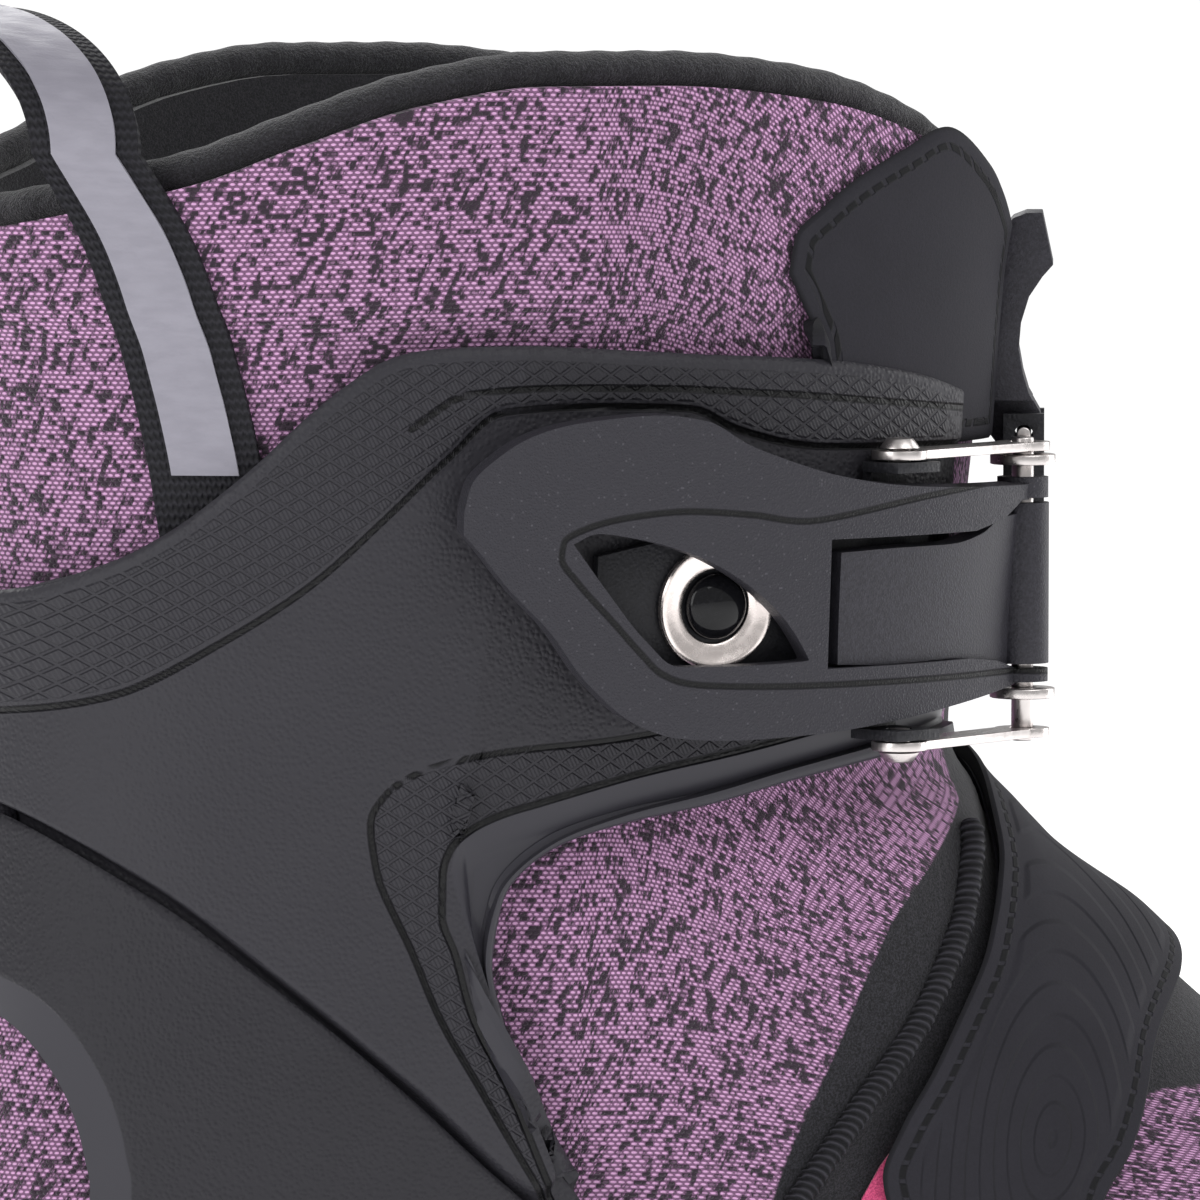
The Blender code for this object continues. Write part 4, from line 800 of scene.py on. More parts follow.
def sock(name, low_off, inset, low_z, drop, columns=180, foot_rows=46, leg_rows=96):
    """Ring round the foot and C-shaped collar above it, as one sheet."""
    turn = -90 + 360 * np.arange(columns) / columns
    split = foot_top(turn) - drop
    top = collar_top(turn)
    rows = [low_z + (split - low_z) * r / foot_rows for r in range(foot_rows)]
    rows += [split + (top - split) * r / leg_rows for r in range(leg_rows + 1)]
    z = np.stack(rows)
    turns = np.broadcast_to(turn, z.shape)
    x = side_of(turns, z, 0.0)
    off = knit_off(x, z) if low_off is None else np.full(z.shape, low_off)
    places = wall(turns, z, off)
    item = sheet_from(name, places, {"stretch": distance(x, z, STRETCH)}, closed=True)
    throat = np.abs(turn % 360 - 90) < 90 - THROAT_TURN - inset
    work = bmesh.new()
    work.from_mesh(item.data)
    work.verts.ensure_lookup_table()
    gone = [work.verts[r * columns + c] for r in range(foot_rows + 1, len(rows))
            for c in np.flatnonzero(throat)]
    bmesh.ops.delete(work, geom=gone, context="VERTS")
    work.to_mesh(item.data)
    work.free()
    return item


upper = sock("knit_upper", None, 0.0, SEAT_Z, 0.0)
wall_thickness(upper, 3.2)
place_piece(upper, FLEX, knit, "upper_foot", "flex_gusset", "upper_collar")
lining = sock("boot_lining", -3.6, -12.0, 25.0, 4.0, 120, 24, 40)
wall_thickness(lining, 2.2)
place_piece(lining, FLEX, lining_cloth, "liner_foot", "liner_collar")

# %% [markdown]
# ## Fleece trim and ribbed piping
# Round soft cords. A ring of points is carried along a path, which is what a bevelled curve
# does, and here each ring may swell a little so that the roll looks stuffed and sewn.

# %% Trim and piping


def cord_along(name, path, radius, sides=20, swell=0.0, wave=6.0):
    path = np.asarray(path, float)
    ahead = np.gradient(path, axis=0)
    ahead /= np.linalg.norm(ahead, axis=1, keepdims=True)
    side = np.cross(ahead, [0.0, 0.0, 1.0])
    side /= np.linalg.norm(side, axis=1, keepdims=True) + 1e-9
    above = np.cross(side, ahead)
    run = np.concatenate([[0.0], np.cumsum(np.linalg.norm(np.diff(path, axis=0), axis=1))])
    ends = np.minimum(run, run[-1] - run)
    size = radius * np.sqrt(np.clip(ends / radius * (2 - ends / radius), 0.0004, 1.0) *
                            (ends < radius) + (ends >= radius))
    size = size * (1 + swell * np.sin(run * wave))
    angle = np.linspace(0, 2 * np.pi, sides, endpoint=False)
    ring = (np.cos(angle)[None, :, None] * side[:, None] + np.sin(angle)[None, :, None]
            * above[:, None]) * size[:, None, None] + path[:, None]
    item = sheet_from(name, ring, closed=True)
    select_only(item)
    bpy.ops.object.mode_set(mode="EDIT")
    bpy.ops.mesh.select_all(action="SELECT")
    bpy.ops.mesh.remove_doubles(threshold=0.00001)
    bpy.ops.mesh.fill_holes(sides=0)
    bpy.ops.mesh.normals_make_consistent(inside=False)
    bpy.ops.object.mode_set(mode="OBJECT")
    bpy.ops.object.shade_smooth()
    return item


turns = np.linspace(-180 - THROAT_TURN, THROAT_TURN, 420)
trim_path = wall(turns, collar_top(turns), -1.6) + np.array([0.0, 0.0, 1.9])
trim = cord_along("fleece_collar_trim", trim_path, 2.7, 24, 0.03, 1.1)
place_piece(trim, "cuff_assembly", pile, "collar_trim")

PIPING = [(59, 136), (57, 126), (53, 118), (47, 109), (40, 101), (34, 93), (29, 86)]
line = curve(PIPING, 160, 0.0)
for side, flip in (("outer", False), ("inner", True)):
    z = line[:, 1]
    turn = 180 - line[:, 0] if flip else line[:, 0]
    path = wall(turn, z, knit_off(side_of(turn, z, 0.0), z) + 0.9)
    piping = cord_along("ribbed_piping_" + side, path, 1.7, 18, 0.1, 4.6)
    place_piece(piping, FLEX, ribs, "piping_" + side)

# %% [markdown]
# ## Heel shell and hinged cuff
# Two moulded shells. The cuff's tail runs under the heel shell, so its wall steps inwards along
# the shell's edge. Each is drawn as rows between two outlines on the wall, on one side only,
# then mirrored and given its thickness. Distances to the outlines drive the bevels and patterns.

# %% Cuff and shell outlines
CUFF_TOP = [(-90, 171), (-75, 172), (-66, 176), (-60, 180), (-51, 188), (-43, 196),
            (-38, 200), (-33, 203), (-29, 204), (-24, 204.4), (-19, 204.5), (-14, 204.5),
            (-9, 204.3), (-4, 204), (1, 203.7), (6, 203.4), (12, 203), (21, 202.6), (33, 201.8),
            (46, 200), (57, 197)]
CUFF_MIDDLE = [(-90, 158), (-73, 156), (-62, 152), (-53, 147), (-45, 141), (-40, 137),
               (-37, 134), (-34, 132), (-31, 131), (-28, 131), (-25.5, 132), (-23.5, 134),
               (-22, 138), (-21, 143), (-18, 147), (-12, 151), (-2, 154), (12, 158),
               (28, 164), (43, 169), (56, 173)]
CUFF_STEP = [(-90, 147), (-74, 143), (-61, 134), (-47, 122.5), (-34, 112), (-25, 105),
             (-18, 99), (-13, 95), (-10, 93), (-8, 92.5), (-6.5, 94), (-11, 104), (-17, 115),
             (-19, 124), (-17, 132), (-9, 139), (2, 143), (15, 146), (29, 149), (45, 151.5),
             (58, 153)]
CUFF_FOOT = [(-90, 134), (-74, 130), (-60, 121), (-44, 108), (-31, 96), (-20, 85), (-13, 74),
             (-5, 64), (5, 63), (11, 74), (2, 86), (-7, 97), (-13.5, 111), (-16.5, 122),
             (-15, 131), (-8, 137.5), (3, 140.7), (16, 142.7), (30, 145.5), (46, 147.6),
             (59, 148.5)]
SHELL_EDGE = [(-90, 145), (-74, 141), (-61, 131.5), (-43, 117), (-28, 105), (-14, 93), (-6, 87),
              (0, 84.5), (8, 82.5), (17, 78), (27, 68), (37, 54), (47, 41), (56, 31), (62, 23),
              (44, 22), (22, 22), (0, 22), (-22, 22), (-42, 22), (-62, 22), (-90, 22)]
HEEL_WINDOW = [(-90, 118), (-76, 114), (-72, 108), (-70, 103), (-69, 99), (-68.5, 96), (-68, 93),
               (-68, 90), (-68, 87), (-68, 84), (-68, 80), (-68, 76), (-68, 72), (-68.5, 68),
               (-69, 65), (-70, 62), (-71, 59), (-72, 57), (-74, 54), (-76, 52), (-79, 50),
               (-90, 48)]
# Lower edge of the cuff's raised top band, and the two lines round the textured limb trim.
BAND_LOW = [(-95, 153), (-74, 156), (-65, 158.5), (-53, 166), (-42, 174), (-33.5, 182),
            (-25, 190), (-17, 196), (-6, 196.5), (10, 196), (18, 193), (32, 190.5), (70, 190)]
TRIM_OUT = [(80, 165), (60, 162), (30, 156.5), (12, 153.6), (-1, 152), (-15, 151), (-26, 149),
            (-32, 145.6), (-34, 141.6), (-33, 135), (-28, 124), (-24, 115), (-18.5, 106.5),
            (-14, 99.7), (-8, 91), (0, 80)]
TRIM_IN = [(80, 160), (60, 157), (40, 153.5), (20, 150), (5, 147.5), (-10, 144),
           (-15.5, 142.6), (-20, 140.7), (-23, 138), (-24, 134.6), (-24, 129), (-22, 123.6),
           (-19.6, 115.6), (-13.5, 105), (-7, 92), (0, 80)]
BAND_TIER = [(-30, 194), (-22, 198.3), (-10, 198.9), (6, 198.6), (24, 197.6), (60, 194.5)]
CUFF_OFF, TAIL_OFF, SHELL_OFF, EDGE_ROUND = 6.0, 2.6, 6.1, 1.3


CUFF_ROWS = (44, 30, 30, 30)


def weave(curves, rows):
    """Rows of (turn, z) from curve to curve, straight between them."""
    grid = []
    for (first, last), count in zip(zip(curves, curves[1:]), rows):
        grid += [first + (last - first) * k / count for k in range(count)]
    return np.stack(grid + [curves[-1]])


def side_part(points):
    """A smooth copy of an outline, without its run round the back's middle."""
    return smooth_line([(max(x, -84.0), z) for x, z in points], 160)


def make_cuff():
    columns = 260
    top, middle, step, foot = (curve(c, columns) for c in
                               (CUFF_TOP, CUFF_MIDDLE, CUFF_STEP, CUFF_FOOT))
    upper = (top + middle) / 2
    grid = weave([top, upper, middle, step, foot], CUFF_ROWS)
    turn, z = grid[..., 0], grid[..., 1]
    k = np.linspace(0, 40, columns)
    out = ease(20, 25, k)
    share = np.clip((np.arange(len(grid)) - sum(CUFF_ROWS[:3])) / CUFF_ROWS[3], 0, 1)[:, None]
    target = TAIL_OFF + (CUFF_OFF - TAIL_OFF) * out
    off = CUFF_OFF + (target - CUFF_OFF) * ease(0.0, 0.16, share)
    x = side_of(turn, z)
    top_line = side_part(CUFF_TOP)
    foot_line = side_part(CUFF_FOOT)[60:]
    from_front_end = 96.0 * (1 - np.linspace(0, 1, columns))[None, :]
    edge = np.minimum(distance(x, z, top_line, False), distance(x, z, foot_line, False))
    edge = np.minimum(edge, from_front_end + 0.0 * x)
    band = distance(x, z, [(-95, 230)] + smooth_line(BAND_LOW, 90) + [(90, 230)])
    tier = distance(x, z, smooth_line(BAND_TIER, 60), False)
    trim_out = smooth_line(TRIM_OUT, 90)
    trim_in = smooth_line(TRIM_IN, 90)
    between_lines = distance(x, z, trim_out + trim_in[::-1])
    inner = distance(x, z, trim_in + [(30, 80), (90, 110)]) * ease(22, 26, k)
    off = off + 0.8 * ease(-0.4, 0.6, band) * (share < 0.01)
    off = off - 0.35 * ease(-0.3, 0.3, between_lines) * (off > 4.5)
    chamfered = (share < 0.5) * (out + (share < 0.01) > 0.4)
    off = off - np.minimum(0.34 * np.maximum(inner, 0.0), 1.6) * chamfered
    off = off - rolled(np.minimum(edge, EDGE_ROUND), EDGE_ROUND) * 0.75
    texture = np.maximum(np.minimum(band - 0.9, edge - 1.8), between_lines - 0.4)
    item = sheet_from("hinged_cuff", wall(turn, z, off),
                      {"texture": texture, "satin": np.minimum(inner, 1.5),
                       "groove": np.minimum(np.minimum(np.abs(band + 0.1), np.abs(tier)),
                                           np.abs(between_lines))})
    wall_thickness(item, 1.9, mirror=True, smooth=50.0)
    return item


def make_shell():
    columns = 300
    edge_line, window = curve(SHELL_EDGE, columns), curve(HEEL_WINDOW, columns)
    edge_line[:, 1] = np.maximum(edge_line[:, 1], SEAT_Z)
    steps = np.concatenate([np.linspace(0, 0.06, 9)[:-1], np.linspace(0.06, 0.9, 52)[:-1],
                            np.linspace(0.9, 1.0, 14)])
    grid = edge_line + (window - edge_line) * steps[:, None, None]
    turn, z = grid[..., 0], grid[..., 1]
    x = side_of(turn, z)
    outer = distance(x, z, side_part(SHELL_EDGE)[:105], False)
    inner = distance(x, z, side_part(HEEL_WINDOW), False)
    window_slope = 1.5 * np.clip(1 - inner / 5.5, 0, 1)
    off = SHELL_OFF - window_slope - rolled(np.minimum(outer, EDGE_ROUND), EDGE_ROUND) * 0.8
    item = sheet_from("heel_shell", wall(turn, z, off),
                      {"texture": np.full(x.shape, -1.0), "satin": 5.0 - inner,
                       "groove": np.full(x.shape, 9.0)})
    wall_thickness(item, 2.5, mirror=True, smooth=50.0)
    return item


place_piece(make_cuff(), "cuff_assembly", cuff_plastic, "cuff")
place_piece(make_shell(), "boot", shell_plastic, "lower_shell")

# %% [markdown]
# ## Patches, instep strap and hook strip
# Flat sewn pieces of brushed synthetic leather. Their stitch lines and embossed rings follow
# from the distance to their own edge.

# %% Patches and strap


def flat_piece(name, first, last, off, thick, rows=40, rounding=0.7, puff=0.0):
    """A sewn sheet between two edges given as (turn, z) rows."""
    a, b = (np.asarray(e, float) for e in (first, last))
    grid = np.stack([a + (b - a) * k / rows for k in range(rows + 1)])
    turn, z = grid[..., 0], grid[..., 1]
    flat = wall(turn, z, off)
    rim = np.concatenate([flat[0], flat[1:-1, -1], flat[-1][::-1], flat[1:-1, 0][::-1]])
    inside = np.full(turn.shape, 1e9)
    for p, q in zip(rim, np.roll(rim, -1, axis=0)):
        d = q - p
        t = np.clip(((flat - p) @ d) / max(d @ d, 1e-9), 0, 1)
        inside = np.minimum(inside, np.linalg.norm(flat - p - t[..., None] * d, axis=-1))
    run = np.cumsum(np.linalg.norm(np.diff(flat, axis=1, prepend=flat[:, :1]), axis=-1), axis=1)
    climb = np.cumsum(np.linalg.norm(np.diff(flat, axis=0, prepend=flat[:1]), axis=-1), axis=0)
    short = np.minimum(np.arange(turn.shape[1]), np.arange(turn.shape[1])[::-1])[None, :] * \
        np.linalg.norm(flat[:, 1] - flat[:, 0], axis=-1).mean()
    along = np.where(short < inside * 1.2, climb, run)
    lift = puff * ease(0.0, 9.0, inside) - rolled(np.minimum(inside, rounding), rounding) * 0.8
    item = sheet_from(name, wall(turn, z, off + lift), {"edge": inside, "run": along})
    wall_thickness(item, thick)
    return item


PATCH_TOP = [(25.5, 213.5), (26.5, 218.5), (31, 222.5), (36, 226), (44, 230), (51.5, 233),
             (60, 228), (66, 220)]
PATCH_LOW = [(30.5, 204), (31.5, 198), (33, 192), (40, 190), (48, 190), (54, 190), (60, 190),
             (64, 190)]
for side, flip in (("outer", False), ("inner", True)):
    rows = []
    for points in (PATCH_TOP, PATCH_LOW):
        track = curve(points, 90, 4.0)
        track[:, 0] = 180 - track[:, 0] if flip else track[:, 0]
        rows.append(track)
    patch = flat_piece("nubuck_patch_" + side, rows[0], rows[1], 5.9, 1.3)
    place_piece(patch, "cuff_assembly", nubuck, "collar_patch_" + side)

STRAP_REAR = [(15, 72), (17, 82), (18, 90), (21, 97), (25.5, 104), (32, 113), (40, 121),
              (51, 129), (66, 139), (90, 146)]
STRAP_FRONT = [(22, 70), (28, 78), (31, 85), (36, 91), (42, 98), (48, 104), (55, 108.5),
               (64, 112), (76, 115), (90, 117)]


def strap_track(edge, count):
    full = edge + [(180 - t, z) for t, z in reversed(edge[3:-1])]
    at = np.arange(len(full))
    want = np.linspace(0, len(full) - 1, count)
    return np.stack([np.interp(want, *smooth_table(list(zip(at, [p[k] for p in full])), 4000))
                     for k in (0, 1)], axis=-1)


strap = flat_piece("instep_strap_leather", strap_track(STRAP_REAR, 260),
                   strap_track(STRAP_FRONT, 260), 4.1, 2.1, rows=70, puff=0.7)
place_piece(strap, "strap", strap_leather, "instep_strap")
hook = flat_piece("coral_hook_strip", [(13.2, 72), (14.8, 80), (16.5, 87), (18.6, 91.3), (21.6, 95.9)],
                  [(24, 70), (25, 78), (26, 86), (28, 92), (31, 97)], 1.6, 1.2, rows=12)
place_piece(hook, "boot", coral, "hook_patch")

# %% [markdown]
# ## Pull loop
# A webbing arch sewn to both sides of the collar, with a reflective tape along its middle. The
# tape is thin and creased, which its bump map shows.

# %% Pull loop and tape
LOOP_PATH = [(-51, 178), (-53, 190), (-56, 203), (-60, 217), (-66, 230)]
LOOP_RISE, LOOP_LEAN, LOOP_OFF, WEBBING_WIDE, WEBBING_THICK = 19.0, 6.0, 0.9, 15.0, 1.2


def loop_frames():
    """Centre line and width directions of the webbing from the outer foot to the crown."""
    track = smooth_line(LOOP_PATH, 50)
    turn = np.array([float(turn_of(x, z, LOOP_OFF)) for x, z in track])
    z = np.array([p[1] for p in track])
    bulge = ease(204, 211, z) * 2.0 + 1.0
    place = wall(turn, z, LOOP_OFF + WEBBING_THICK + bulge)
    across = base(turn + 2, z) - base(turn - 2, z)
    across /= np.linalg.norm(across, axis=1, keepdims=True)
    foot = place[-1]
    swing = np.radians(np.linspace(0, 90, 40)[1:])
    lean = np.stack([foot[0] - LOOP_LEAN * (1 - np.cos(swing)), foot[1] * np.cos(swing),
                     foot[2] + LOOP_RISE * np.sin(swing)], axis=-1)
    share = (swing / swing[-1])[:, None]
    turned = across[-1] * (1 - share) + np.array([1.0, 0, 0]) * share
    turned /= np.linalg.norm(turned, axis=1, keepdims=True)
    return np.concatenate([place, lean]), np.concatenate([across, turned])


def ribbon(name, wide, lift, thick, start=0, crease=0.0):
    spine, across = loop_frames()
    ahead = np.gradient(spine, axis=0)
    ahead[-1] = (0.0, 1.0, 0.0)
    out = np.cross(across, ahead)
    out /= np.linalg.norm(out, axis=1, keepdims=True)
    spine, across, out = spine[start:], across[start:], out[start:]
    out *= np.sign((out * np.stack([0 * spine[:, 0], spine[:, 1], spine[:, 2] - 225.0], -1))
                   .sum(1, keepdims=True))
    steps = np.linspace(-0.5, 0.5, 15)
    wave = crease * np.sin(np.arange(len(spine)) * 0.9)[:, None] * np.cos(steps * 9.0)[None]
    grid = (spine[:, None] + across[:, None] * (wide * steps)[None, :, None]
            + out[:, None] * (lift + wave)[..., None])
    grid[-1, :, 1] = 0.0
    item = sheet_from(name, grid, up=150.0)
    wall_thickness(item, thick, mirror=True)
    return item


loop = ribbon("webbing_pull_loop", WEBBING_WIDE, 0.0, WEBBING_THICK)
place_piece(loop, "loop", webbing, "pull_loop")
strip = ribbon("reflective_strip", 9.0, 0.55, 0.4, start=10, crease=0.1)
place_piece(strip, "loop", tape, "reflective_tape")

# %% [markdown]
# ## Buckle lever and tab
# A bar with a window in it and a tab that lies in a notch at its hinged end. The bar is one thick
# sheet, the window and the notch are cut with solid cutters, and every edge is then bevelled.

# %% Lever and tab
LEVER_TOP = [(-27, 184), (-26, 187.5), (-22, 191), (-17, 193.5), (-10, 195), (2, 195.8),
             (10, 195), (18, 191.5), (32, 187.5), (42, 186), (54, 185.3), (67.5, 185)]
LEVER_LOW = [(-27, 181), (-25, 179), (-20, 173.5), (-14, 168), (-8, 161), (0, 155.5),
             (8, 153.3), (18, 152.8), (30, 153), (42, 153.8), (54, 155), (67.5, 156.5)]
EYE = [(-9.5, 178.5), (-6, 179.8), (0, 178.9), (8, 176.6), (15, 173.0), (21, 168.2), (24, 164.5),
       (25.5, 162), (14, 161.6), (6, 161.8), (1, 165.5), (-4.5, 172)]
NOTCH = [(28.5, 160.7), (54, 160.7), (60, 159.9), (64, 158.6), (90, 158.6), (90, 181.6),
         (64, 181.6), (60, 179.4), (54, 178.1), (28.5, 178.1)]
LEVER_OFF, LEVER_THICK, BUCKLE_Z, HINGE_X = 14.0, 4.0, 170.0, 68.0


def side_cutter(name, outline):
    """A tall prism through the outer side from an outline of (x, z) points."""
    mesh = bpy.data.meshes.new(name)
    near, far = [[(x * MM, y, z * MM) for x, z in outline] for y in (-0.10, -0.008)]
    count = len(outline)
    faces = [list(range(count)), list(range(2 * count - 1, count - 1, -1))]
    faces += [(k, k + count, (k + 1) % count + count, (k + 1) % count) for k in range(count)]
    mesh.from_pydata(near + far, [], faces)
    item = bpy.data.objects.new(name, mesh)
    bpy.context.scene.collection.objects.link(item)
    select_only(item)
    bpy.ops.object.mode_set(mode="EDIT")
    bpy.ops.mesh.select_all(action="SELECT")
    bpy.ops.mesh.normals_make_consistent(inside=False)
    bpy.ops.object.mode_set(mode="OBJECT")
    return item


def cut_away(item, cutter, operation="DIFFERENCE"):
    change = item.modifiers.new("cut", "BOOLEAN")
    change.operation = operation
    change.solver = "EXACT"
    change.object = cutter
    apply_all(item)
    bpy.data.objects.remove(cutter)


def soften(item, width, segments=2, angle=45.0):
    edge = item.modifiers.new("edges", "BEVEL")
    edge.width = width * MM
    edge.segments = segments
    edge.limit_method = "ANGLE"
    edge.angle_limit = math.radians(angle)
    apply_all(item)
    bpy.ops.object.shade_smooth_by_angle(angle=math.radians(50.0))


def hinge_place(z):
    turn = turn_of(HINGE_X, BUCKLE_Z, LEVER_OFF)
    spot = wall(turn, BUCKLE_Z, LEVER_OFF - 0.5)
    return Vector((float(spot[0]), float(spot[1]), z)) * MM


def round_bar(name, centre, direction, radius, length, sides=48):
    """A cylinder laid along a direction, in millimetres, made a plain mesh."""
    bpy.ops.object.select_all(action="DESELECT")
    bpy.ops.mesh.primitive_cylinder_add(vertices=sides, radius=radius * MM, depth=length * MM)
    item = bpy.context.object
    item.name = name
    turn = Vector((0, 0, 1)).rotation_difference(Vector(direction)).to_matrix().to_4x4()
    item.data.transform(Matrix.Translation(centre) @ turn)
    return item


def side_field(item, label, outline):
    """Store each point's distance inside an outline seen from the side."""
    count = len(item.data.vertices)
    where = np.zeros(count * 3)
    item.data.vertices.foreach_get("co", where)
    where = where.reshape(-1, 3) / MM
    values = distance(where[:, 0], where[:, 2], outline)
    layer = item.data.attributes.new(label, "FLOAT", "POINT")
    layer.data.foreach_set("value", values.astype(np.float32))


def thick_bar(name, top, low, off, thick, rows, columns):
    first, last = curve(top, columns, off), curve(low, columns, off)
    grid = np.stack([first + (last - first) * k / rows for k in range(rows + 1)])
    item = sheet_from(name, wall(grid[..., 0], grid[..., 1], off))
    wall_thickness(item, thick)
    return item


lever = thick_bar("buckle_lever", LEVER_TOP, LEVER_LOW, LEVER_OFF, LEVER_THICK, 60, 170)
eye = smooth_line(EYE + EYE[:1], 72)[:-1]
cut_away(lever, side_cutter("eye_cutter", eye))
cut_away(lever, side_cutter("tab_notch", NOTCH))
for low, high in ((156.6, 158.4), (181.8, 184.6)):
    knuckle = round_bar("knuckle", hinge_place((low + high) / 2), (0, 0, 1), 3.5, high - low)
    cut_away(lever, knuckle, "UNION")
soften(lever, 0.7, 3)
PANEL = [(75, 186.2), (65.5, 185.4), (45, 183.4), (24.7, 180.7), (16.1, 181.8), (6.4, 182.5),
         (-1.5, 181.9), (-7.5, 180.6), (-10.8, 178.8), (-11.1, 176.6), (-8.6, 173.2),
         (-3.5, 167.9), (0.4, 163.8), (3.6, 160.9), (8.2, 159.4), (24.7, 158.6), (57.4, 158.4),
         (75, 157.8)]
side_field(lever, "groove", smooth_line(PANEL, 160))
place_piece(lever, "lever", lever_plastic, "lever")

TAB_TOP = [(33, 177.2), (42, 177.5), (52, 177.6), (58, 178.7), (62, 180.6), (67.5, 181.1)]
TAB_LOW = [(33, 162.0), (42, 161.6), (52, 161.6), (58, 160.9), (62, 159.6), (67.5, 159.2)]
tab = thick_bar("buckle_tab", TAB_TOP, TAB_LOW, 13.0, 3.0, 30, 80)
cut_away(tab, round_bar("tab_knuckle", hinge_place(170.1), (0, 0, 1), 3.6, 22.0), "UNION")
soften(tab, 0.5, 3)
place_piece(tab, "tab", tab_plastic, "lever_tab")

# %% [markdown]
# ## Ring, dome and the other small metal parts
# Turned parts: a profile is spun round an axis that points straight out of the cuff.

# %% Turned parts


def turned(name, centre, direction, profile, steps=96):
    """A profile of (radius, height) points in millimetres, spun round a direction."""
    mesh = bpy.data.meshes.new(name)
    mesh.from_pydata([(r * MM, 0.0, h * MM) for r, h in profile], [],
                     [(k, k + 1) for k in range(len(profile) - 1)])
    item = bpy.data.objects.new(name, mesh)
    bpy.context.scene.collection.objects.link(item)
    spin = item.modifiers.new("spin", "SCREW")
    spin.steps = steps
    spin.render_steps = steps
    spin.use_merge_vertices = True
    spin.merge_threshold = 0.00001
    apply_all(item)
    bpy.ops.object.mode_set(mode="EDIT")
    bpy.ops.mesh.select_all(action="SELECT")
    bpy.ops.mesh.remove_doubles(threshold=0.000005)
    bpy.ops.mesh.normals_make_consistent(inside=False)
    bpy.ops.object.mode_set(mode="OBJECT")
    turn = Vector((0, 0, 1)).rotation_difference(Vector(direction)).to_matrix().to_4x4()
    item.data.transform(Matrix.Translation(Vector(centre) * MM) @ turn)
    bpy.ops.object.shade_smooth_by_angle(angle=math.radians(35.0))
    return item


ring_turn = turn_of(14.2, BUCKLE_Z, 8.2)
ring_face = wall(ring_turn, BUCKLE_Z, 8.5)
ring_out = normal(ring_turn, BUCKLE_Z)
ring = turned("nickel_ring", ring_face, ring_out,
              [(5.0, 0.0), (5.0, 0.25), (5.2, 0.42), (6.0, 0.5), (6.9, 0.72), (7.5, 1.0),
               (7.9, 1.12), (8.2, 1.05), (8.4, 0.8), (8.4, 0.0), (5.0, 0.0)])
place_piece(ring, "cuff_assembly", nickel, "ring_washer")
dome_profile = [(0.0, 2.4)] + [(4.5 * math.sin(a), 2.4 * math.cos(a) ** 0.8) for a in
                               np.linspace(0.1, 1.55, 16)]
dome = turned("black_dome", ring_face, ring_out,
              dome_profile + [(2.5, 0.0), (2.5, -5.2), (0.0, -5.2)])
place_piece(dome, "cuff_assembly", dome_black, "base_rivet")

# %% [markdown]
# ## Hard parts kept from the CAD part
# The links, pins, washers, receiver and sole are right as they are. They get a fine bevel, as
# every moulded or stamped edge has, and a better material.

# %% Bevelled copies
for node, body, look, width in (
        ("hinge_pin", "cuff_assembly", steel, 0.25), ("washer_top", "cuff_assembly", steel, 0.2),
        ("washer_low", "cuff_assembly", steel, 0.2), ("link_top", "cuff_assembly", steel, 0.2),
        ("link_low", "cuff_assembly", steel, 0.2), ("link_pin_top", "cuff_assembly", steel, 0.15),
        ("link_pin_low", "cuff_assembly", steel, 0.15),
        ("buckle_base", "cuff_assembly", buckle_plastic, 0.3),
        ("strap_receiver", "cuff_assembly", buckle_plastic, 0.3),
        ("release_paddle", "paddle", tab_plastic, 0.5), ("paddle_pin", "cuff_assembly", steel, 0.2),
        ("ladder_rivet", "cuff_assembly", steel, 0.2),
        ("pivot_rivet_outer", "boot", gunmetal, 0.3), ("pivot_rivet_inner", "boot", gunmetal, 0.3),
        ("strap_anchor", "boot", buckle_plastic, 0.3), ("toe_bar", "boot", steel, 0.3),
        ("ball_bar", "boot", steel, 0.3), ("lasting_board", "boot", board_stuff, 0.3),
        ("insole", "boot", lining_cloth, 0.8),
        ("ladder_strap", "cuff_assembly", ladder_plastic, 0.3)):
    refine(node, body, look, width)

# %% [markdown]
# ## Sole and toe cap
# The sole follows the wall's outline at the ground, drawn with many more points than the CAD
# slab. The grooves for the track and the pockets for the binding bars are cut into it.

# %% Sole


def slab(name, off, low, high, count=260):
    """A flat slab that follows the boot's outline, in millimetres."""
    turn = -90 + 360 * np.arange(count) / count
    rim = wall(turn, 21.0, off)[:, :2] * MM
    mesh = bpy.data.meshes.new(name)
    points = [(x, y, z * MM) for z in (low, high) for x, y in rim]
    faces = [list(range(count))[::-1], list(range(count, 2 * count))]
    faces += [(k, (k + 1) % count, (k + 1) % count + count, k + count) for k in range(count)]
    mesh.from_pydata(points, [], faces)
    item = bpy.data.objects.new(name, mesh)
    bpy.context.scene.collection.objects.link(item)
    select_only(item)
    bpy.ops.object.mode_set(mode="EDIT")
    bpy.ops.mesh.select_all(action="SELECT")
    bpy.ops.mesh.normals_make_consistent(inside=False)
    bpy.ops.object.mode_set(mode="OBJECT")
    return item


def block(name, low, high):
    middle = [(a + b) / 2 * MM for a, b in zip(low, high)]
    bpy.ops.object.select_all(action="DESELECT")
    bpy.ops.mesh.primitive_cube_add(size=1.0)
    item = bpy.context.object
    item.name = name
    item.data.transform(Matrix.Translation(middle)
                        @ Matrix.Diagonal([(b - a) * MM for a, b in zip(low, high)] + [1.0]))
    return item


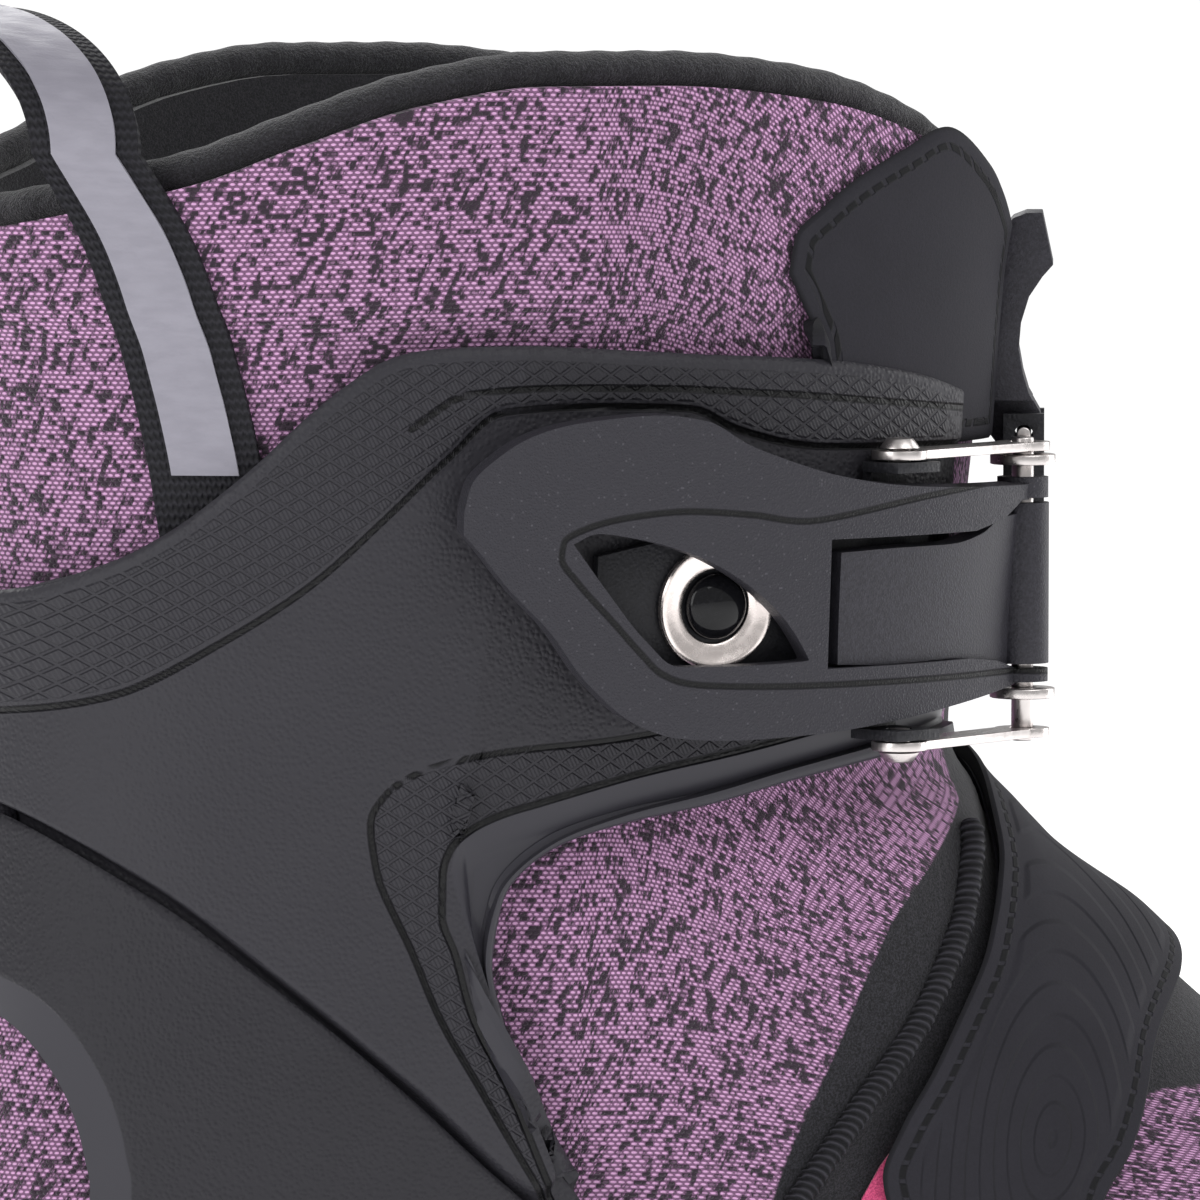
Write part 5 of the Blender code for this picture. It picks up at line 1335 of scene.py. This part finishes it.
outsole = slab("rubber_outsole", 6.0, 0.0, 9.0)
for y in (-12.0, 12.0):
    cut_away(outsole, block("groove", (-70, y - 4, -1), (122, y + 4, 4)))
for x in (184.0, 142.0):
    cut_away(outsole, block("bar_pocket", (x - 8, -14, -1), (x + 8, 14, 10)))
    cut_away(outsole, round_bar("bar_bore", Vector((x, 0, 4.5)) * MM, (0, 1, 0), 2.3, 40.6, 32))
soften(outsole, 0.8, 2, 50.0)
place_piece(outsole, "boot", rubber, "outsole")
plate = slab("sole_plate_moulding", 6.0, 9.3, 21.3)
soften(plate, 1.6, 4, 50.0)
place_piece(plate, "boot", plate_plastic, "sole_plate")

cap_top = [(60, 28), (66, 40), (73, 52), (81, 60), (90, 63)]
cap_top += [(180 - t, z) for t, z in reversed(cap_top[:-1])]
at = np.arange(len(cap_top))
want = np.linspace(0, len(cap_top) - 1, 150)
first = np.stack([np.interp(want, *smooth_table(list(zip(at, [p[k] for p in cap_top])), 3000))
                  for k in (0, 1)], axis=-1)
last = np.stack([first[:, 0], np.full(150, SEAT_Z)], axis=-1)
cap = flat_piece("toe_cap_moulding", first, last, 2.8, 2.2, rows=50, rounding=1.0)
place_piece(cap, "boot", cap_rubber, "toe_cap")

# %% [markdown]
# ## Padded tongue
# A tongue is foam between two cloths. A slab in the throat is remeshed, blown up a little as
# cloth with air pressure, and settles into soft curves. The top edge rises above the collar.

# %% Tongue


def make_tongue():
    count, rows = 50, 120
    turn = np.linspace(63, 117, count)
    low, high = 86.0, 222.0 - 0.012 * (turn - 90) ** 2
    z = low + (high - low) * np.linspace(0, 1, rows)[:, None]
    turns = np.broadcast_to(turn, z.shape)
    across = (turns - 90) / 27.0
    off = -4.6 + 1.0 * (1 - across ** 2)
    item = sheet_from("padded_tongue", wall(turns, z, off))
    wall_thickness(item, 4.0)
    select_only(item)
    shape = item.modifiers.new("even", "REMESH")
    shape.mode = "VOXEL"
    shape.voxel_size = 0.0022
    apply_all(item)
    cloth = item.modifiers.new("cloth", "CLOTH")
    cloth.settings.use_pressure = True
    cloth.settings.uniform_pressure_force = 4.0
    cloth.settings.effector_weights.gravity = 0.0
    cloth.settings.quality = 4
    cloth.point_cache.frame_start = 1
    cloth.point_cache.frame_end = 10
    for frame_number in range(1, 11):
        bpy.context.scene.frame_set(frame_number)
    before = np.zeros(len(item.data.vertices) * 3)
    item.data.vertices.foreach_get("co", before)
    bpy.ops.object.modifier_apply(modifier="cloth")
    after = np.zeros(len(item.data.vertices) * 3)
    item.data.vertices.foreach_get("co", after)
    move = (after - before).reshape(-1, 3)
    size = np.linalg.norm(move, axis=1, keepdims=True)
    most = 1.2 * MM    # further than the pressure carries any point
    item.data.vertices.foreach_set("co", (before.reshape(-1, 3) + move * np.minimum(
        1.0, most / np.maximum(size, 1e-9))).reshape(-1))
    item.data.update()
    bpy.context.scene.frame_set(1)
    fine = item.modifiers.new("fine", "SUBSURF")
    fine.levels = 1
    fine.render_levels = 1
    apply_all(item)
    bpy.ops.object.shade_smooth()
    return item


tongue = place_piece(make_tongue(), FLEX, lining_cloth, "tongue_instep", "tongue_shin")
